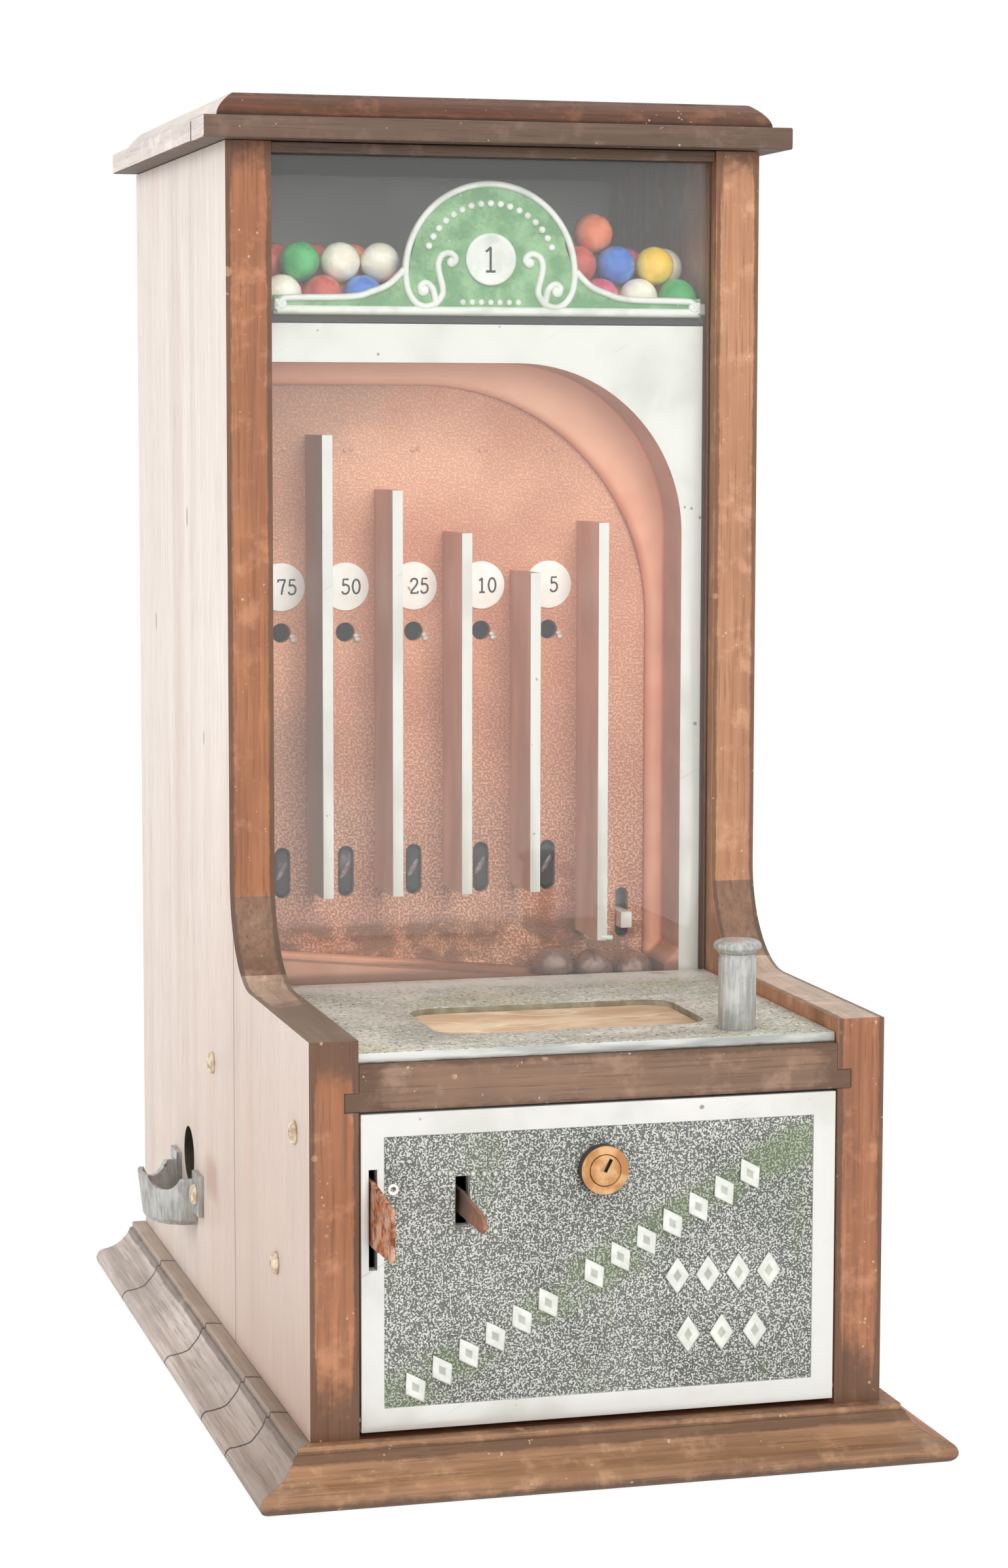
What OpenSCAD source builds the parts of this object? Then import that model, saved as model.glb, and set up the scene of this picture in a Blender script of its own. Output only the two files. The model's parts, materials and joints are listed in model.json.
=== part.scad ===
// Counter ball game with a ball gum vender, in a wooden cabinet.
// X runs to the right, the front faces -Y and Z is up.
// The origin is on the counter, in the middle of the base's footprint.
// Inside in_case(), y is the distance back from the front of the side boards.

/* [Cabinet] */
// Width across the outside of the side boards
case_w = 228.6; // [226:0.1:234]
// Depth of the side boards at the door
case_d = 380; // [374:1:392]
// Height of the side boards
case_h = 516; // [514:1:524]
// Thickness of the side boards
board_t = 19; // [18:0.5:20]
// Distance from the door's face back to the upper front edge
upper_s = 157; // [155:0.5:159]
// Height of the lower front part
lower_h = 173; // [170:0.5:176]
// Radius of the curve between the lower and the upper front
cove_r = 42; // [30:1:48]

/* [Base and roof] */
// Height of the base moulding
base_h = 20.5; // [20:0.5:21]
// Projection of the base moulding
base_out = 24; // [22:0.5:28]
// Overhang of the roof slab at the front and sides
roof_over = 11; // [8:0.5:16]
// Thickness of the roof slab
slab_t = 9; // [8.5:0.5:12]
// Height of the moulded cap on the roof
cap_h = 10; // [8:0.5:14]

/* [Door and front rail] */
// Thickness of the door casting
door_t = 6; // [5.5:0.25:6.5]
// Width of the door's bright border
door_border = 9; // [7:0.5:11]
// Height of the front rail
rail_h = 18; // [17:0.5:19]
// Diameter of the lock's face
lock_d = 19; // [18:0.5:22]

/* [Playfield] */
// Height of the gum compartment above the playfield casting
gum_space = 73; // [73:0.5:75]
// Height of the frame above the field opening
frame_top = 16; // [13:0.5:20]
// Depth of the field behind the frame's face
field_depth = 34; // [33:0.5:35]
// Radius of the field's upper right corner
corner_r = 72; // [64:1:76]
// Thickness of the column ribs
rib_t = 4.4; // [3.5:0.1:5]
// Clear width of the left-hand column
left_column_w = 21.3; // [20:0.1:23]
// Clear width of the ball lane
lane_w = 32.3; // [31.5:0.1:33]
// Diameter of the score discs
disc_d = 20.5; // [18:0.5:22]
// Diameter of the steel balls
ball_d = 17.5; // [16.5:0.1:17.6]

/* [Striker] */
// Height of the striker plate's top
plate_z = 167.5; // [166.5:0.25:168.5]
// Diameter of the plunger
plunger_d = 14.8; // [13:0.1:15]
// Height of the plunger above the striker plate
plunger_h = 35; // [31:0.5:42]
// Diameter of the plunger's cap
cap_d = 19; // [17.5:0.5:22]

/* [Gum] */
// Diameter of a gumball
gum_d = 17; // [16:0.1:17.2]
// Pull of the gum slide
gum_pull = 32; // [30:0.5:34]
// Outside radius of the gum cup
cup_r = 23; // [20:0.5:24]

/* [Tabs] */
// How far the two tabs stand out of the door
tab_out = 33; // [26:0.5:33]
// Thickness of the tabs
tab_t = 1.6; // [1.2:0.1:2]

/* [Hidden] */
$fn = 64;

// Clearances: running fit, gap between pieces that move past each other, overlap used in cuts
fit = 0.05;
gap = 0.3;
cut = 1;

// Cabinet levels and faces
half_w = case_w / 2;
half_in = half_w - board_t;
front_y = base_out - (case_d + base_out) / 2;
bottom_t = 20;
back_t = 10;
back_s = case_d - back_t;

// Front rail, door and its hinge axis
plate_lip = 4;
rail_t = 10;
rail_z1 = plate_z - plate_lip;
rail_z0 = rail_z1 - rail_h;
tongue_l = 5.5;
tongue_h = 7.5;
door_z0 = base_h + 2;
door_z1 = rail_z0 - 0.8;
door_half = half_in - 0.8;
field_recess = 1.2;
hinge_s = door_t / 2;
hinge_z = door_z0 + 4.5;
hinge_r = 1.5;
hinge_deep = 14;
hinge_in_board = 7;

// Glass pane in its grooves
glass_s = upper_s + 7.5;
glass_t = 3;
groove_t = glass_t + 0.4;
groove_s = glass_s - 0.2;
groove_deep = 4;
plate_t = 7;
plate_under = plate_z - plate_t;
cleat_w = 8;
cleat_z = 141;

// Playfield levels, with x places worked out from the right-hand frame
play_s = glass_s + glass_t + 1.5;
field_s = play_s + field_depth;
casting_s = field_s + 4;
play_top = case_h - gum_space;
play_right = half_in - 2;
play_left = -half_in + 0.6;
play_bottom = 151;
open_right = play_right - 8.8;
open_left = play_left + 1.2;
open_top = play_top - frame_top;
step_w = 6;
step_top = 9;
step_r = 100;
step_deep = 6;
lane_rib_x = open_right - lane_w - rib_t / 2;
rib_pitch = (lane_rib_x - rib_t / 2 - left_column_w - open_left) / 4;
rib_x = [for (i = [4 : -1 : 0]) lane_rib_x - i * rib_pitch];
rib_drops = [30, 53, 71, 88, 67];
rib_foot_z = 203;
lane_rib_foot_z = 181;
column_x = concat([open_left + left_column_w / 2], [for (i = [0 : 3]) (rib_x[i] + rib_x[i + 1]) / 2]);
column_clear = min(left_column_w, rib_pitch - rib_t);
disc_z = open_top - 94.5;
disc_t = 0.6;
eye_z = disc_z - 19.5;
eye_d = 8.3;
slot_z = rib_foot_z + 7;
slot_w = 7;
slot_h = 22;
lane_x = lane_rib_x + rib_t / 2 + 16.8;
gate_z = 186;

// Trough: the balls roll along a sloping groove to the foot of the lane
ball_r = ball_d / 2;
ball_s = play_s + 17;
ball_z = 164.5;
trough_fall = 0.1;
trough_angle = atan(trough_fall);
groove_r = ball_r + gap;
seat_lap = 1.5;
shelf_drop = 3;
ball_pitch = ball_d + 2 * gap;
lane_stop_x = lane_x + ball_r + gap;

// Striker: plunger, rocking kicker arm and its pivot
plunger_x = lane_x - 8;
plunger_s = 21.5;
plunger_r = plunger_d / 2;
bush_r = 9.2;
shaft_foot = 134.3;
shaft_end = shaft_foot + 10.7;
cap_t = 5.5;
pivot_s = 104;
pivot_z = 146;
kicker_t = 5;
hub_r = 8.5;
rear_z = [123, 133];
finger_w = 6;
finger_top = ball_z - ball_r - 15.2;
cheek_x = 4;
cheek_t = 3;
cheek_s = 7;
pivot_pin_l = 17;
pad_s = [plunger_s - 5.5, plunger_s + 8.5];
pad_z = shaft_foot - gap;
spring_s = 60;
spring_z = pad_z + (pivot_z + 6 - pad_z) * (spring_s - pad_s[1]) / (pivot_s - pad_s[1]) + 1.7;
pin_r = 3;

// Coin lever
lever_x = -door_half + 4.65;
lever_s = 62;
lever_z = 106;
lever_hub_r = 9;
tail_l = 84;
bracket_s = [18, 74];
bracket_z = [66, 140];
flange_t = 2;
coin_slot_w = 3.2;
coin_slot_z = [85, 123.5];
tab_z = [94, 119];

// Coin entry on the right side, its chute and the cash box
coin_s = 100;
coin_z = 120;
coin_h = 22;
coin_w = 2.4;
sheet_t = 1.5;
chute_w = 16;
chute_z = 66;
cash_x = [-40, half_in - 3];
cash_s = [44, back_s - 180];
cash_top = 62;
cash_t = 2;

// Gum path
slide_x = -55;
slide_s = back_s - 80;
bed_s = [slide_s - 102, slide_s + 50];
bed_flange_z = 138;
bed_margin = 17;
drop_s = slide_s - gum_pull;
bed_z = 96;
bed_t = 2.7;
pocket_r = 10.5;
pocket_h = 18;
pocket_wall = 13;
slide_z = bed_z + bed_t + gap;
pull_slot_w = 5;
pull_slot_z = [100, 119];
pull_z = [104, 113.5];
tube_r = 12;
exit_s = drop_s;
exit_z = 78;
exit_r = 12.5;
hopper_z = play_top + 0.5;
hopper_t = 3;
hopper_floor = hopper_z + hopper_t;
hopper_s = [play_s + 3, back_s - 54];

// Screws seen on the left side, as [distance back, height]
side_screw_at = [[198, 130], [26, 134], [62, 75]];
screw_head_r = 4.6;
screw_r = 2;
ear_s = cup_r + 6;
ear_z = 66;

// Lock
lock_z = 119.3;
lock_body_r = 8;
lock_proud = 4.2;
plug_r = 6;
tail_r = 3.5;

// Lid hinges
lid_gap = 0.3;
lid_axis_s = case_d + 3;
lid_axis_z = case_h + lid_gap / 2;
lid_hinge_x = [-60, 60];
knuckle_r = 2.6;
lid_pin_r = 1.3;
leaf_w = 30;
knuckle_l = 9.8;
outer_knuckle_l = (leaf_w - knuckle_l) / 2 - gap;
leaf_t = 1.4;
leaf_h = 26;
leaf_drop = 4;

// Colours
oak = [0.60, 0.36, 0.22];
dark_oak = [0.42, 0.25, 0.15];
aluminium = [0.80, 0.81, 0.79];
copper = [0.76, 0.52, 0.42];
steel = [0.55, 0.56, 0.57];
rust = [0.55, 0.34, 0.24];
brass = [0.83, 0.62, 0.36];

// Points on an arc about c, from angle a0 to a1
function arc(c, r, a0, a1, n = 16) =
    [for (i = [0 : n]) c + r * [cos(a0 + (a1 - a0) * i / n), sin(a0 + (a1 - a0) * i / n)]];

// Moves the children so that y is measured back from the front of the side boards
module in_case() translate([0, front_y, 0]) children();

// Extrudes an outline drawn in (distance back, height) along X
module along_x(x0, length) translate([x0, 0, 0]) rotate([90, 0, 90]) linear_extrude(length) children();

// Extrudes an outline drawn in (x, height) along Y
module along_y(s0, length)
    translate([0, s0 + length, 0]) rotate([90, 0, 0]) linear_extrude(length) children();

// Round bars along X, Y and Z, each from its start
module bar_x(x0, s, z, r, length) translate([x0, s, z]) rotate([0, 90, 0]) cylinder(r = r, h = length);
module bar_y(x, s0, z, r, length) translate([x, s0, z]) rotate([-90, 0, 0]) cylinder(r = r, h = length);
module bar_z(x, s, z0, r, length) translate([x, s, z0]) cylinder(r = r, h = length);

// Block between two corners
module block(a, b) translate(a) cube(b - a);

// Upright oblong with round ends, cut through along Y
module oblong_y(x, z, w, h, s0, length) {
    block([x - w / 2, s0, z - h / 2 + w / 2], [x + w / 2, s0 + length, z + h / 2 - w / 2]);
    for (side = [-1, 1]) bar_y(x, s0, z + side * (h - w) / 2, w / 2, length);
}

// Cabinet

module board_blank(x0) {
    cove_c = [upper_s - cove_r, lower_h + cove_r];
    along_x(x0, board_t) polygon(concat(
        [[0, 0], [case_d, 0], [case_d, case_h], [upper_s, case_h]],
        arc(cove_c, cove_r, 0, -90, 24),
        [[0, lower_h]]));
}

// What both side boards have cut into their inner faces, on the side given
module board_cuts(side) {
    mirror([side < 0 ? 1 : 0, 0, 0]) {
        block([half_in - cut, groove_s, plate_under],
              [half_in + groove_deep, groove_s + groove_t, case_h - 3]);
        block([half_in - cut, -cut, rail_z0], [half_in + tongue_l, rail_t, rail_z0 + tongue_h]);
        bar_x(half_in - cut, hinge_s, hinge_z, hinge_r + fit, hinge_in_board + cut);
    }
}

module side_board_left() color(oak) in_case() difference() {
    board_blank(-half_w);
    board_cuts(-1);
    bar_x(-half_w - cut, exit_s, exit_z, exit_r, board_t + 2 * cut);
    for (at = side_screw_at) bar_x(-half_w - cut, at[0], at[1], screw_r, board_t + 2 * cut);
    for (side = [-1, 1]) bar_x(-half_w - cut, exit_s + side * ear_s, ear_z, screw_r, 14 + cut);
}

module side_board_right() color(oak) in_case() difference() {
    board_blank(half_in);
    board_cuts(1);
    block([half_in - cut, coin_s - 2, coin_z - coin_h / 2 - 1],
          [half_w + cut, coin_s + 2, coin_z + coin_h / 2 + 1]);
}

module back_panel() color(dark_oak) in_case()
    block([-half_in, back_s, bottom_t], [half_in, case_d, case_h]);

module bottom_board() color(dark_oak) in_case()
    block([-half_in, 0, 0], [half_in, case_d, bottom_t]);

// Section of the base moulding: rounded nose, hollow, step and fillet
module base_section() {
    nose_r = 4;
    hollow_r = 16;
    fillet = 6.5;
    polygon(concat(
        [[0, 0]],
        arc([base_out - nose_r, nose_r], nose_r, -90, 80, 10),
        arc([base_out - 1.6, base_h + 3.4], hollow_r, -97, -153, 12),
        [[fillet + 1.2, base_h - 2.6], [fillet, base_h - 2.6], [fillet, base_h], [0, base_h]]));
}

// Block that trims a moulding off at its mitre
module mitre(x, turn) translate([x, 0, -cut]) rotate([0, 0, turn]) cube([case_w, case_w, base_h + 2 * cut]);

module base_moulding_front() color(oak) in_case() difference() {
    along_x(-half_w - base_out, case_w + 2 * base_out) mirror([1, 0]) base_section();
    mitre(-half_w, 135);
    mitre(half_w, -45);
}

module base_moulding_side(side) color(oak) in_case() mirror([side < 0 ? 1 : 0, 0, 0]) difference() {
    translate([half_w, 0, 0]) along_y(-base_out, case_d + base_out) base_section();
    mitre(half_w, -135);
}

module base_moulding_left() base_moulding_side(-1);

module base_moulding_right() base_moulding_side(1);

module front_rail() color(oak) in_case() {
    block([-half_in, 0, rail_z0], [half_in, rail_t, rail_z1]);
    for (side = [-1, 1]) mirror([side < 0 ? 1 : 0, 0, 0])
        block([half_in - cut, 0, rail_z0], [half_in + tongue_l, rail_t, rail_z0 + tongue_h]);
}

module head_rail() color(dark_oak) in_case()
    block([-half_in, upper_s + 1.5, case_h - 4.5], [half_in, glass_s - 0.5, case_h]);

// Two stepped cleats on the side boards carry the striker plate, the glass and the playfield
module plate_cleats() color(dark_oak) in_case() for (side = [-1, 1]) mirror([side < 0 ? 1 : 0, 0, 0])
    along_x(half_in - cleat_w, cleat_w) polygon([
        [rail_t + 2, cleat_z], [casting_s + 5, cleat_z], [casting_s + 5, play_bottom],
        [glass_s + glass_t, play_bottom], [glass_s + glass_t, plate_under], [rail_t + 2, plate_under]]);

module front_glass() color([0.85, 0.92, 0.92, 0.25]) in_case()
    block([-half_in - groove_deep + 0.4, glass_s, plate_under],
          [half_in + groove_deep - 0.4, glass_s + glass_t, case_h - 3.4]);

// Roof lid

roof_half = half_w + roof_over;
roof_s = upper_s - roof_over;
nick_s = 27;
slab_z = case_h + lid_gap;

module roof_slab() color(dark_oak) in_case() difference() {
    block([-roof_half, roof_s, slab_z], [roof_half, case_d, slab_z + slab_t]);
    block([-roof_half - cut, roof_s + nick_s, slab_z - cut],
          [-roof_half + 3, roof_s + nick_s + 1.5, slab_z + slab_t + cut]);
}

// Edge of the cap: a short upright, then a flat round up to the flat top
cap_in = 6.6;
cap_run = 8;
cap_foot = 0.8;
cap_steps = 14;
function cap_edge(t) =
    [cap_in + cap_run * (1 - cos(90 * t)),
     cap_foot + (cap_h - cap_foot) * (1 + sin(90 * t) - cos(90 * t)) / 2];
cap_curve = [for (i = [0 : cap_steps]) cap_edge(i / cap_steps)];

module roof_cap() color(dark_oak) in_case() translate([0, 0, slab_z + slab_t]) intersection() {
    along_y(roof_s, case_d - roof_s) polygon(concat(
        [[-roof_half + cap_in, 0], [roof_half - cap_in, 0]],
        [for (p = cap_curve) [roof_half - p[0], p[1]]],
        [for (i = [cap_steps : -1 : 0]) [cap_curve[i][0] - roof_half, cap_curve[i][1]]]));
    along_x(-roof_half, 2 * roof_half) polygon(concat(
        [[case_d, 0], [roof_s + cap_in, 0]],
        [for (p = cap_curve) [roof_s + p[0], p[1]]],
        [[case_d, cap_h]]));
}

// The case leaf has the middle knuckle, the lid leaf has the two outer ones
module roof_hinge_case_leaves() color(steel) in_case() for (x = lid_hinge_x) difference() {
    union() {
        block([x - leaf_w / 2, case_d, case_h - leaf_h],
              [x + leaf_w / 2, case_d + leaf_t, case_h - leaf_drop]);
        block([x - knuckle_l / 2, case_d, case_h - leaf_drop - cut],
              [x + knuckle_l / 2, case_d + leaf_t, case_h - 1]);
        bar_x(x - knuckle_l / 2, lid_axis_s, lid_axis_z, knuckle_r, knuckle_l);
    }
    bar_x(x - leaf_w, lid_axis_s, lid_axis_z, lid_pin_r + fit, 2 * leaf_w);
}

module roof_hinge_lid_leaves() color(steel) in_case() for (x = lid_hinge_x) difference() {
    union() {
        block([x - leaf_w / 2, case_d, slab_z + 3.2],
              [x + leaf_w / 2, case_d + leaf_t, slab_z + slab_t - 0.5]);
        for (x0 = [x - leaf_w / 2, x + knuckle_l / 2 + gap]) {
            bar_x(x0, lid_axis_s, lid_axis_z, knuckle_r, outer_knuckle_l);
            block([x0, case_d, slab_z + 0.8], [x0 + outer_knuckle_l, case_d + leaf_t, slab_z + 4]);
        }
    }
    bar_x(x - leaf_w, lid_axis_s, lid_axis_z, lid_pin_r, 2 * leaf_w);
}

module roof_hinge_pins() color(steel) in_case() for (x = lid_hinge_x)
    bar_x(x - leaf_w / 2, lid_axis_s, lid_axis_z, lid_pin_r, leaf_w);

// Marquee plate: an arch between two low wings
arch_r = 37.5;
marquee_z = hopper_floor;
marquee_half = half_in - 3;

module marquee_plate() color([0.45, 0.62, 0.42]) in_case() {
    wing_h = 8;
    arch_z = marquee_z + 18;
    sweep_r = 28;
    sweep_x = arch_r + 22.5;
    along_y(play_s, 3) difference() {
        union() {
            translate([-marquee_half, marquee_z]) square([2 * marquee_half, wing_h]);
            translate([0, arch_z]) circle(arch_r);
            translate([-sweep_x, marquee_z]) square([2 * sweep_x, arch_z - marquee_z + 1.5]);
        }
        translate([-2 * arch_r, marquee_z - 2 * arch_r]) square([4 * arch_r, 2 * arch_r]);
        for (side = [-1, 1])
            translate([side * sweep_x, marquee_z + wing_h + sweep_r - 0.5]) circle(sweep_r);
    }
}

// Playfield casting

// Outline of the field opening, drawn in by inset at the top and the right
module field_outline(inset, drop, r) {
    c = [open_right - inset - r, open_top - drop - r];
    shelf = ball_z - shelf_drop;
    polygon(concat(
        [[open_left, shelf + (lane_x - open_left) * trough_fall], [lane_x, shelf], [lane_stop_x, shelf],
         [lane_stop_x, shelf + 8], [open_right - inset, shelf + 15]],
        arc(c, r, 0, 90, 28),
        [[open_left, open_top - drop]]));
}

module playfield_casting() color(copper) in_case() {
    difference() {
        union() {
            block([play_left, play_s, play_bottom], [play_right, casting_s, play_top]);
            block([-half_in, field_s, play_bottom], [half_in, casting_s, play_top]);
        }
        along_y(play_s - cut, field_depth - step_deep + cut) field_outline(0, 0, corner_r);
        along_y(play_s, field_depth) field_outline(step_w, step_top, step_r);
        for (x = column_x) {
            bar_y(x, field_s - cut, eye_z, eye_d / 2, 10);
            oblong_y(x, slot_z, slot_w, slot_h, field_s - cut, 10);
        }
        oblong_y(lane_x, gate_z + 2, slot_w - 1, slot_h, field_s - cut, 10);
        translate([lane_x, ball_s, ball_z]) rotate([0, trough_angle - 90, 0])
            cylinder(r = groove_r, h = case_w);
        block([lane_x - seat_lap, ball_s - groove_r, ball_z],
              [lane_stop_x, ball_s + groove_r, ball_z + 8]);
        bar_x(lane_x - seat_lap, ball_s, ball_z, groove_r, groove_r + seat_lap);
        block([lane_x - finger_w / 2 - 0.7, ball_s - 8.5, play_bottom - cut],
              [lane_x + finger_w / 2 + 0.7, ball_s + 6.5, ball_z]);
    }
    for (i = [0 : 4])
        block([rib_x[i] - rib_t / 2, play_s, i < 4 ? rib_foot_z : lane_rib_foot_z],
              [rib_x[i] + rib_t / 2, field_s + 1, open_top - rib_drops[i]]);
}

module score_discs() color([0.95, 0.94, 0.90]) in_case()
    for (x = column_x) bar_y(x, field_s - disc_t, disc_z, min(disc_d, column_clear - 2 * gap) / 2, disc_t);

// Rods on the back of the casting that guide the comb and the lane gate
comb_rod_z = slot_z + 20;
rod_at = [[rib_x[0], comb_rod_z], [rib_x[3], comb_rod_z], [lane_x, gate_z + 22]];
rod_l = 40;
rod_margin = 8;
comb_s = casting_s + 19;
comb_t = 3;
blade_w = slot_w - 2;
blade_h = slot_h - 4;

module comb_rods() color(steel) in_case() for (at = rod_at) bar_y(at[0], casting_s, at[1], pin_r, rod_l);

// Plate with five blades that come out through the slots to hold the balls in their columns
module stop_comb() color(steel) in_case() difference() {
    union() {
        block([column_x[0] - blade_w, comb_s, slot_z - blade_h / 2],
              [column_x[4] + blade_w, comb_s + comb_t, comb_rod_z + rod_margin]);
        for (x = column_x)
            oblong_y(x, slot_z, blade_w, blade_h, field_s + 1.5, comb_s - field_s - 1.5 + cut);
    }
    for (i = [0, 1]) bar_y(rod_at[i][0], comb_s - cut, rod_at[i][1], pin_r + fit, comb_t + 2 * cut);
}

// Finger that stands in the lane until the lever draws it back
module lane_gate() color(steel) in_case() difference() {
    plate_s = comb_s - 6;
    union() {
        block([lane_x - blade_w / 2, ball_s + ball_r + 0.8, gate_z - 4],
              [lane_x + blade_w / 2, plate_s + cut, gate_z + 3]);
        block([lane_x - rod_margin, plate_s, gate_z - 8],
              [lane_x + rod_margin, plate_s + comb_t, rod_at[2][1] + rod_margin]);
    }
    bar_y(rod_at[2][0], plate_s - cut, rod_at[2][1], pin_r + fit, comb_t + 2 * cut);
}

// Striker

card_s = [35, 95];
card_half = 55;
card_deep = 3;

// Rounded rectangle of the card's recess, drawn in by inset
module card_outline(inset) {
    r = 12 - inset;
    x = card_half - 12;
    s = [card_s[0] + 12, card_s[1] - 12];
    polygon(concat(arc([x, s[0]], r, -90, 0), arc([x, s[1]], r, 0, 90),
                   arc([-x, s[1]], r, 90, 180), arc([-x, s[0]], r, 180, 270)));
}

module striker_plate() color(aluminium) in_case() difference() {
    union() {
        block([-half_in + gap, rail_t + gap, plate_under], [half_in - gap, glass_s - 0.5, plate_z]);
        block([-half_in + gap, 3, rail_z1], [half_in - gap, rail_t + cut, plate_z]);
    }
    translate([0, 0, plate_z - card_deep]) linear_extrude(card_deep + cut) card_outline(0);
    bar_z(plunger_x, plunger_s, plate_under - cut, bush_r, plate_t + 2 * cut);
}

module instruction_card() color([0.84, 0.70, 0.50]) in_case()
    translate([0, 0, plate_z - card_deep]) linear_extrude(0.6) card_outline(0.4);

module plunger_bush() color(steel) in_case() difference() {
    bar_z(plunger_x, plunger_s, plate_z - 16, bush_r, 16);
    bar_z(plunger_x, plunger_s, plate_z - 20, plunger_r + fit, 24);
}

// Shaft with a thin foot that bears on the kicker arm
module plunger_shaft() color(aluminium) in_case() {
    bar_z(plunger_x, plunger_s, shaft_end, plunger_r, plate_z + plunger_h - cap_t - shaft_end);
    bar_z(plunger_x, plunger_s, shaft_foot, 2.5, shaft_end - shaft_foot + cut);
}

// Cap turned with a round edge
module plunger_cap() color(aluminium) in_case()
    translate([plunger_x, plunger_s, plate_z + plunger_h - cap_t]) rotate_extrude() polygon(concat(
        [[0, 0], [cap_d / 2 - 2, 0]],
        arc([cap_d / 2 - cap_t / 2, cap_t / 2], cap_t / 2, -60, 80, 10),
        [[0, cap_t]]));

module kicker_bracket() color(steel) in_case() difference() {
    union() {
        block([plunger_x - cheek_x - cheek_t, pivot_s - cheek_s, plate_under - cheek_t],
              [plunger_x + cheek_x + cheek_t, pivot_s + cheek_s, plate_under]);
        for (x0 = [plunger_x - cheek_x - cheek_t, plunger_x + cheek_x])
            block([x0, pivot_s - cheek_s, pivot_z - cheek_s],
                  [x0 + cheek_t, pivot_s + cheek_s, plate_under]);
    }
    bar_x(plunger_x - pivot_pin_l, pivot_s, pivot_z, pin_r, 2 * pivot_pin_l);
}

module kicker_pin() color(steel) in_case()
    bar_x(plunger_x - pivot_pin_l / 2, pivot_s, pivot_z, pin_r, pivot_pin_l);

// Rocking arm: the plunger presses its front end, its rear finger throws the ball
module kicker_arm() color(steel) in_case() difference() {
    rear_s = ball_s + finger_w * 2 / 3;
    union() {
        along_x(plunger_x - kicker_t / 2, kicker_t) {
            polygon([[pad_s[0], pad_z - 8], [pad_s[1], pad_z - 8], [pivot_s, pivot_z - 7],
                     [pivot_s, pivot_z + 6], [pad_s[1], pad_z], [pad_s[0], pad_z]]);
            polygon([[pivot_s, pivot_z - 7.5], [pivot_s, pivot_z + 6.5], [ball_s - 10, rear_z[1]],
                     [rear_s, rear_z[1]], [rear_s, rear_z[0]], [ball_s - 10, rear_z[0]]]);
        }
        bar_x(plunger_x - kicker_t / 2 - 0.5, pivot_s, pivot_z, hub_r, kicker_t + 1);
        block([plunger_x - kicker_t / 2, ball_s - 4, rear_z[0]],
              [lane_x + finger_w / 2, rear_s, rear_z[1] - 1]);
        block([lane_x - finger_w / 2, ball_s - 4, rear_z[0]], [lane_x + finger_w / 2, rear_s, finger_top]);
        bar_z(plunger_x, spring_s, spring_z - 7, 3.2, 7);
    }
    bar_x(plunger_x - pivot_pin_l, pivot_s, pivot_z, pin_r + fit, 2 * pivot_pin_l);
}

// Tension spring that lifts the arm's front end, as a plain sleeve
module kicker_spring() color(steel) in_case() difference() {
    bar_z(plunger_x, spring_s, spring_z, 3.6, plate_under - spring_z);
    bar_z(plunger_x, spring_s, spring_z - cut, 2.4, plate_under - spring_z + 2 * cut);
}

// Coin works

module coin_bracket() color(steel) in_case() {
    difference() {
        block([-half_in, bracket_s[0], bracket_z[0]], [-half_in + flange_t, bracket_s[1], bracket_z[1]]);
        for (i = [1, 2]) bar_x(-half_in - cut, side_screw_at[i][0], side_screw_at[i][1], screw_r, 4);
    }
    bar_x(-half_in + flange_t / 2, lever_s, lever_z, pin_r,
          lever_x + tab_t / 2 + 2 + half_in - flange_t / 2);
}

// Sheet lever whose front end stands out of the door's long slot
module coin_lever() color(rust) in_case() difference() {
    union() {
        along_x(lever_x - tab_t / 2, tab_t) polygon([
            [-tab_out, tab_z[0] + 1.5], [-2, tab_z[0]], [lever_s, lever_z - lever_hub_r],
            [lever_s + tail_l, lever_z + 10], [lever_s + tail_l, lever_z + 18],
            [lever_s, lever_z + lever_hub_r],
            [10, tab_z[1]], [0, tab_z[1]], [-tab_out, tab_z[1] - 3.5]]);
        bar_x(lever_x - tab_t / 2, lever_s, lever_z, lever_hub_r, tab_t);
    }
    bar_x(lever_x - 5, lever_s, lever_z, pin_r + fit, 10);
}

module coin_plate() color(brass) in_case() difference() {
    block([half_w, coin_s - 10, coin_z - 18], [half_w + 1.6, coin_s + 10, coin_z + 18]);
    block([half_w - cut, coin_s - coin_w / 2, coin_z - coin_h / 2],
          [half_w + 3, coin_s + coin_w / 2, coin_z + coin_h / 2]);
}

// Box chute, open to the slot in the right board and at its foot over the cash box
module coin_chute() color(steel) in_case() difference() {
    block([half_in - chute_w, coin_s - 10, chute_z], [half_in, coin_s + 10, coin_z + 16]);
    block([half_in - chute_w + sheet_t, coin_s - 10 + sheet_t, chute_z - cut],
          [half_in + cut, coin_s + 10 - sheet_t, coin_z + 16 - sheet_t]);
}

module cash_box() color(steel) in_case() difference() {
    block([cash_x[0], cash_s[0], bottom_t + gap], [cash_x[1], cash_s[1], cash_top]);
    block([cash_x[0] + cash_t, cash_s[0] + cash_t, bottom_t + gap + cash_t],
          [cash_x[1] - cash_t, cash_s[1] - cash_t, cash_top + cut]);
}

// Gum works

module gum_hopper() color([0.40, 0.40, 0.40]) in_case() difference() {
    union() {
        block([-half_in, hopper_s[0], hopper_z], [half_in, hopper_s[1], hopper_floor]);
        block([-half_in, hopper_s[0], hopper_z], [half_in, hopper_s[0] + 2, hopper_floor + 6]);
        block([-half_in, hopper_s[1] - 2, hopper_z], [half_in, hopper_s[1], case_h - 3]);
    }
    bar_z(slide_x, slide_s, hopper_z - cut, tube_r, 10);
}

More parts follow.
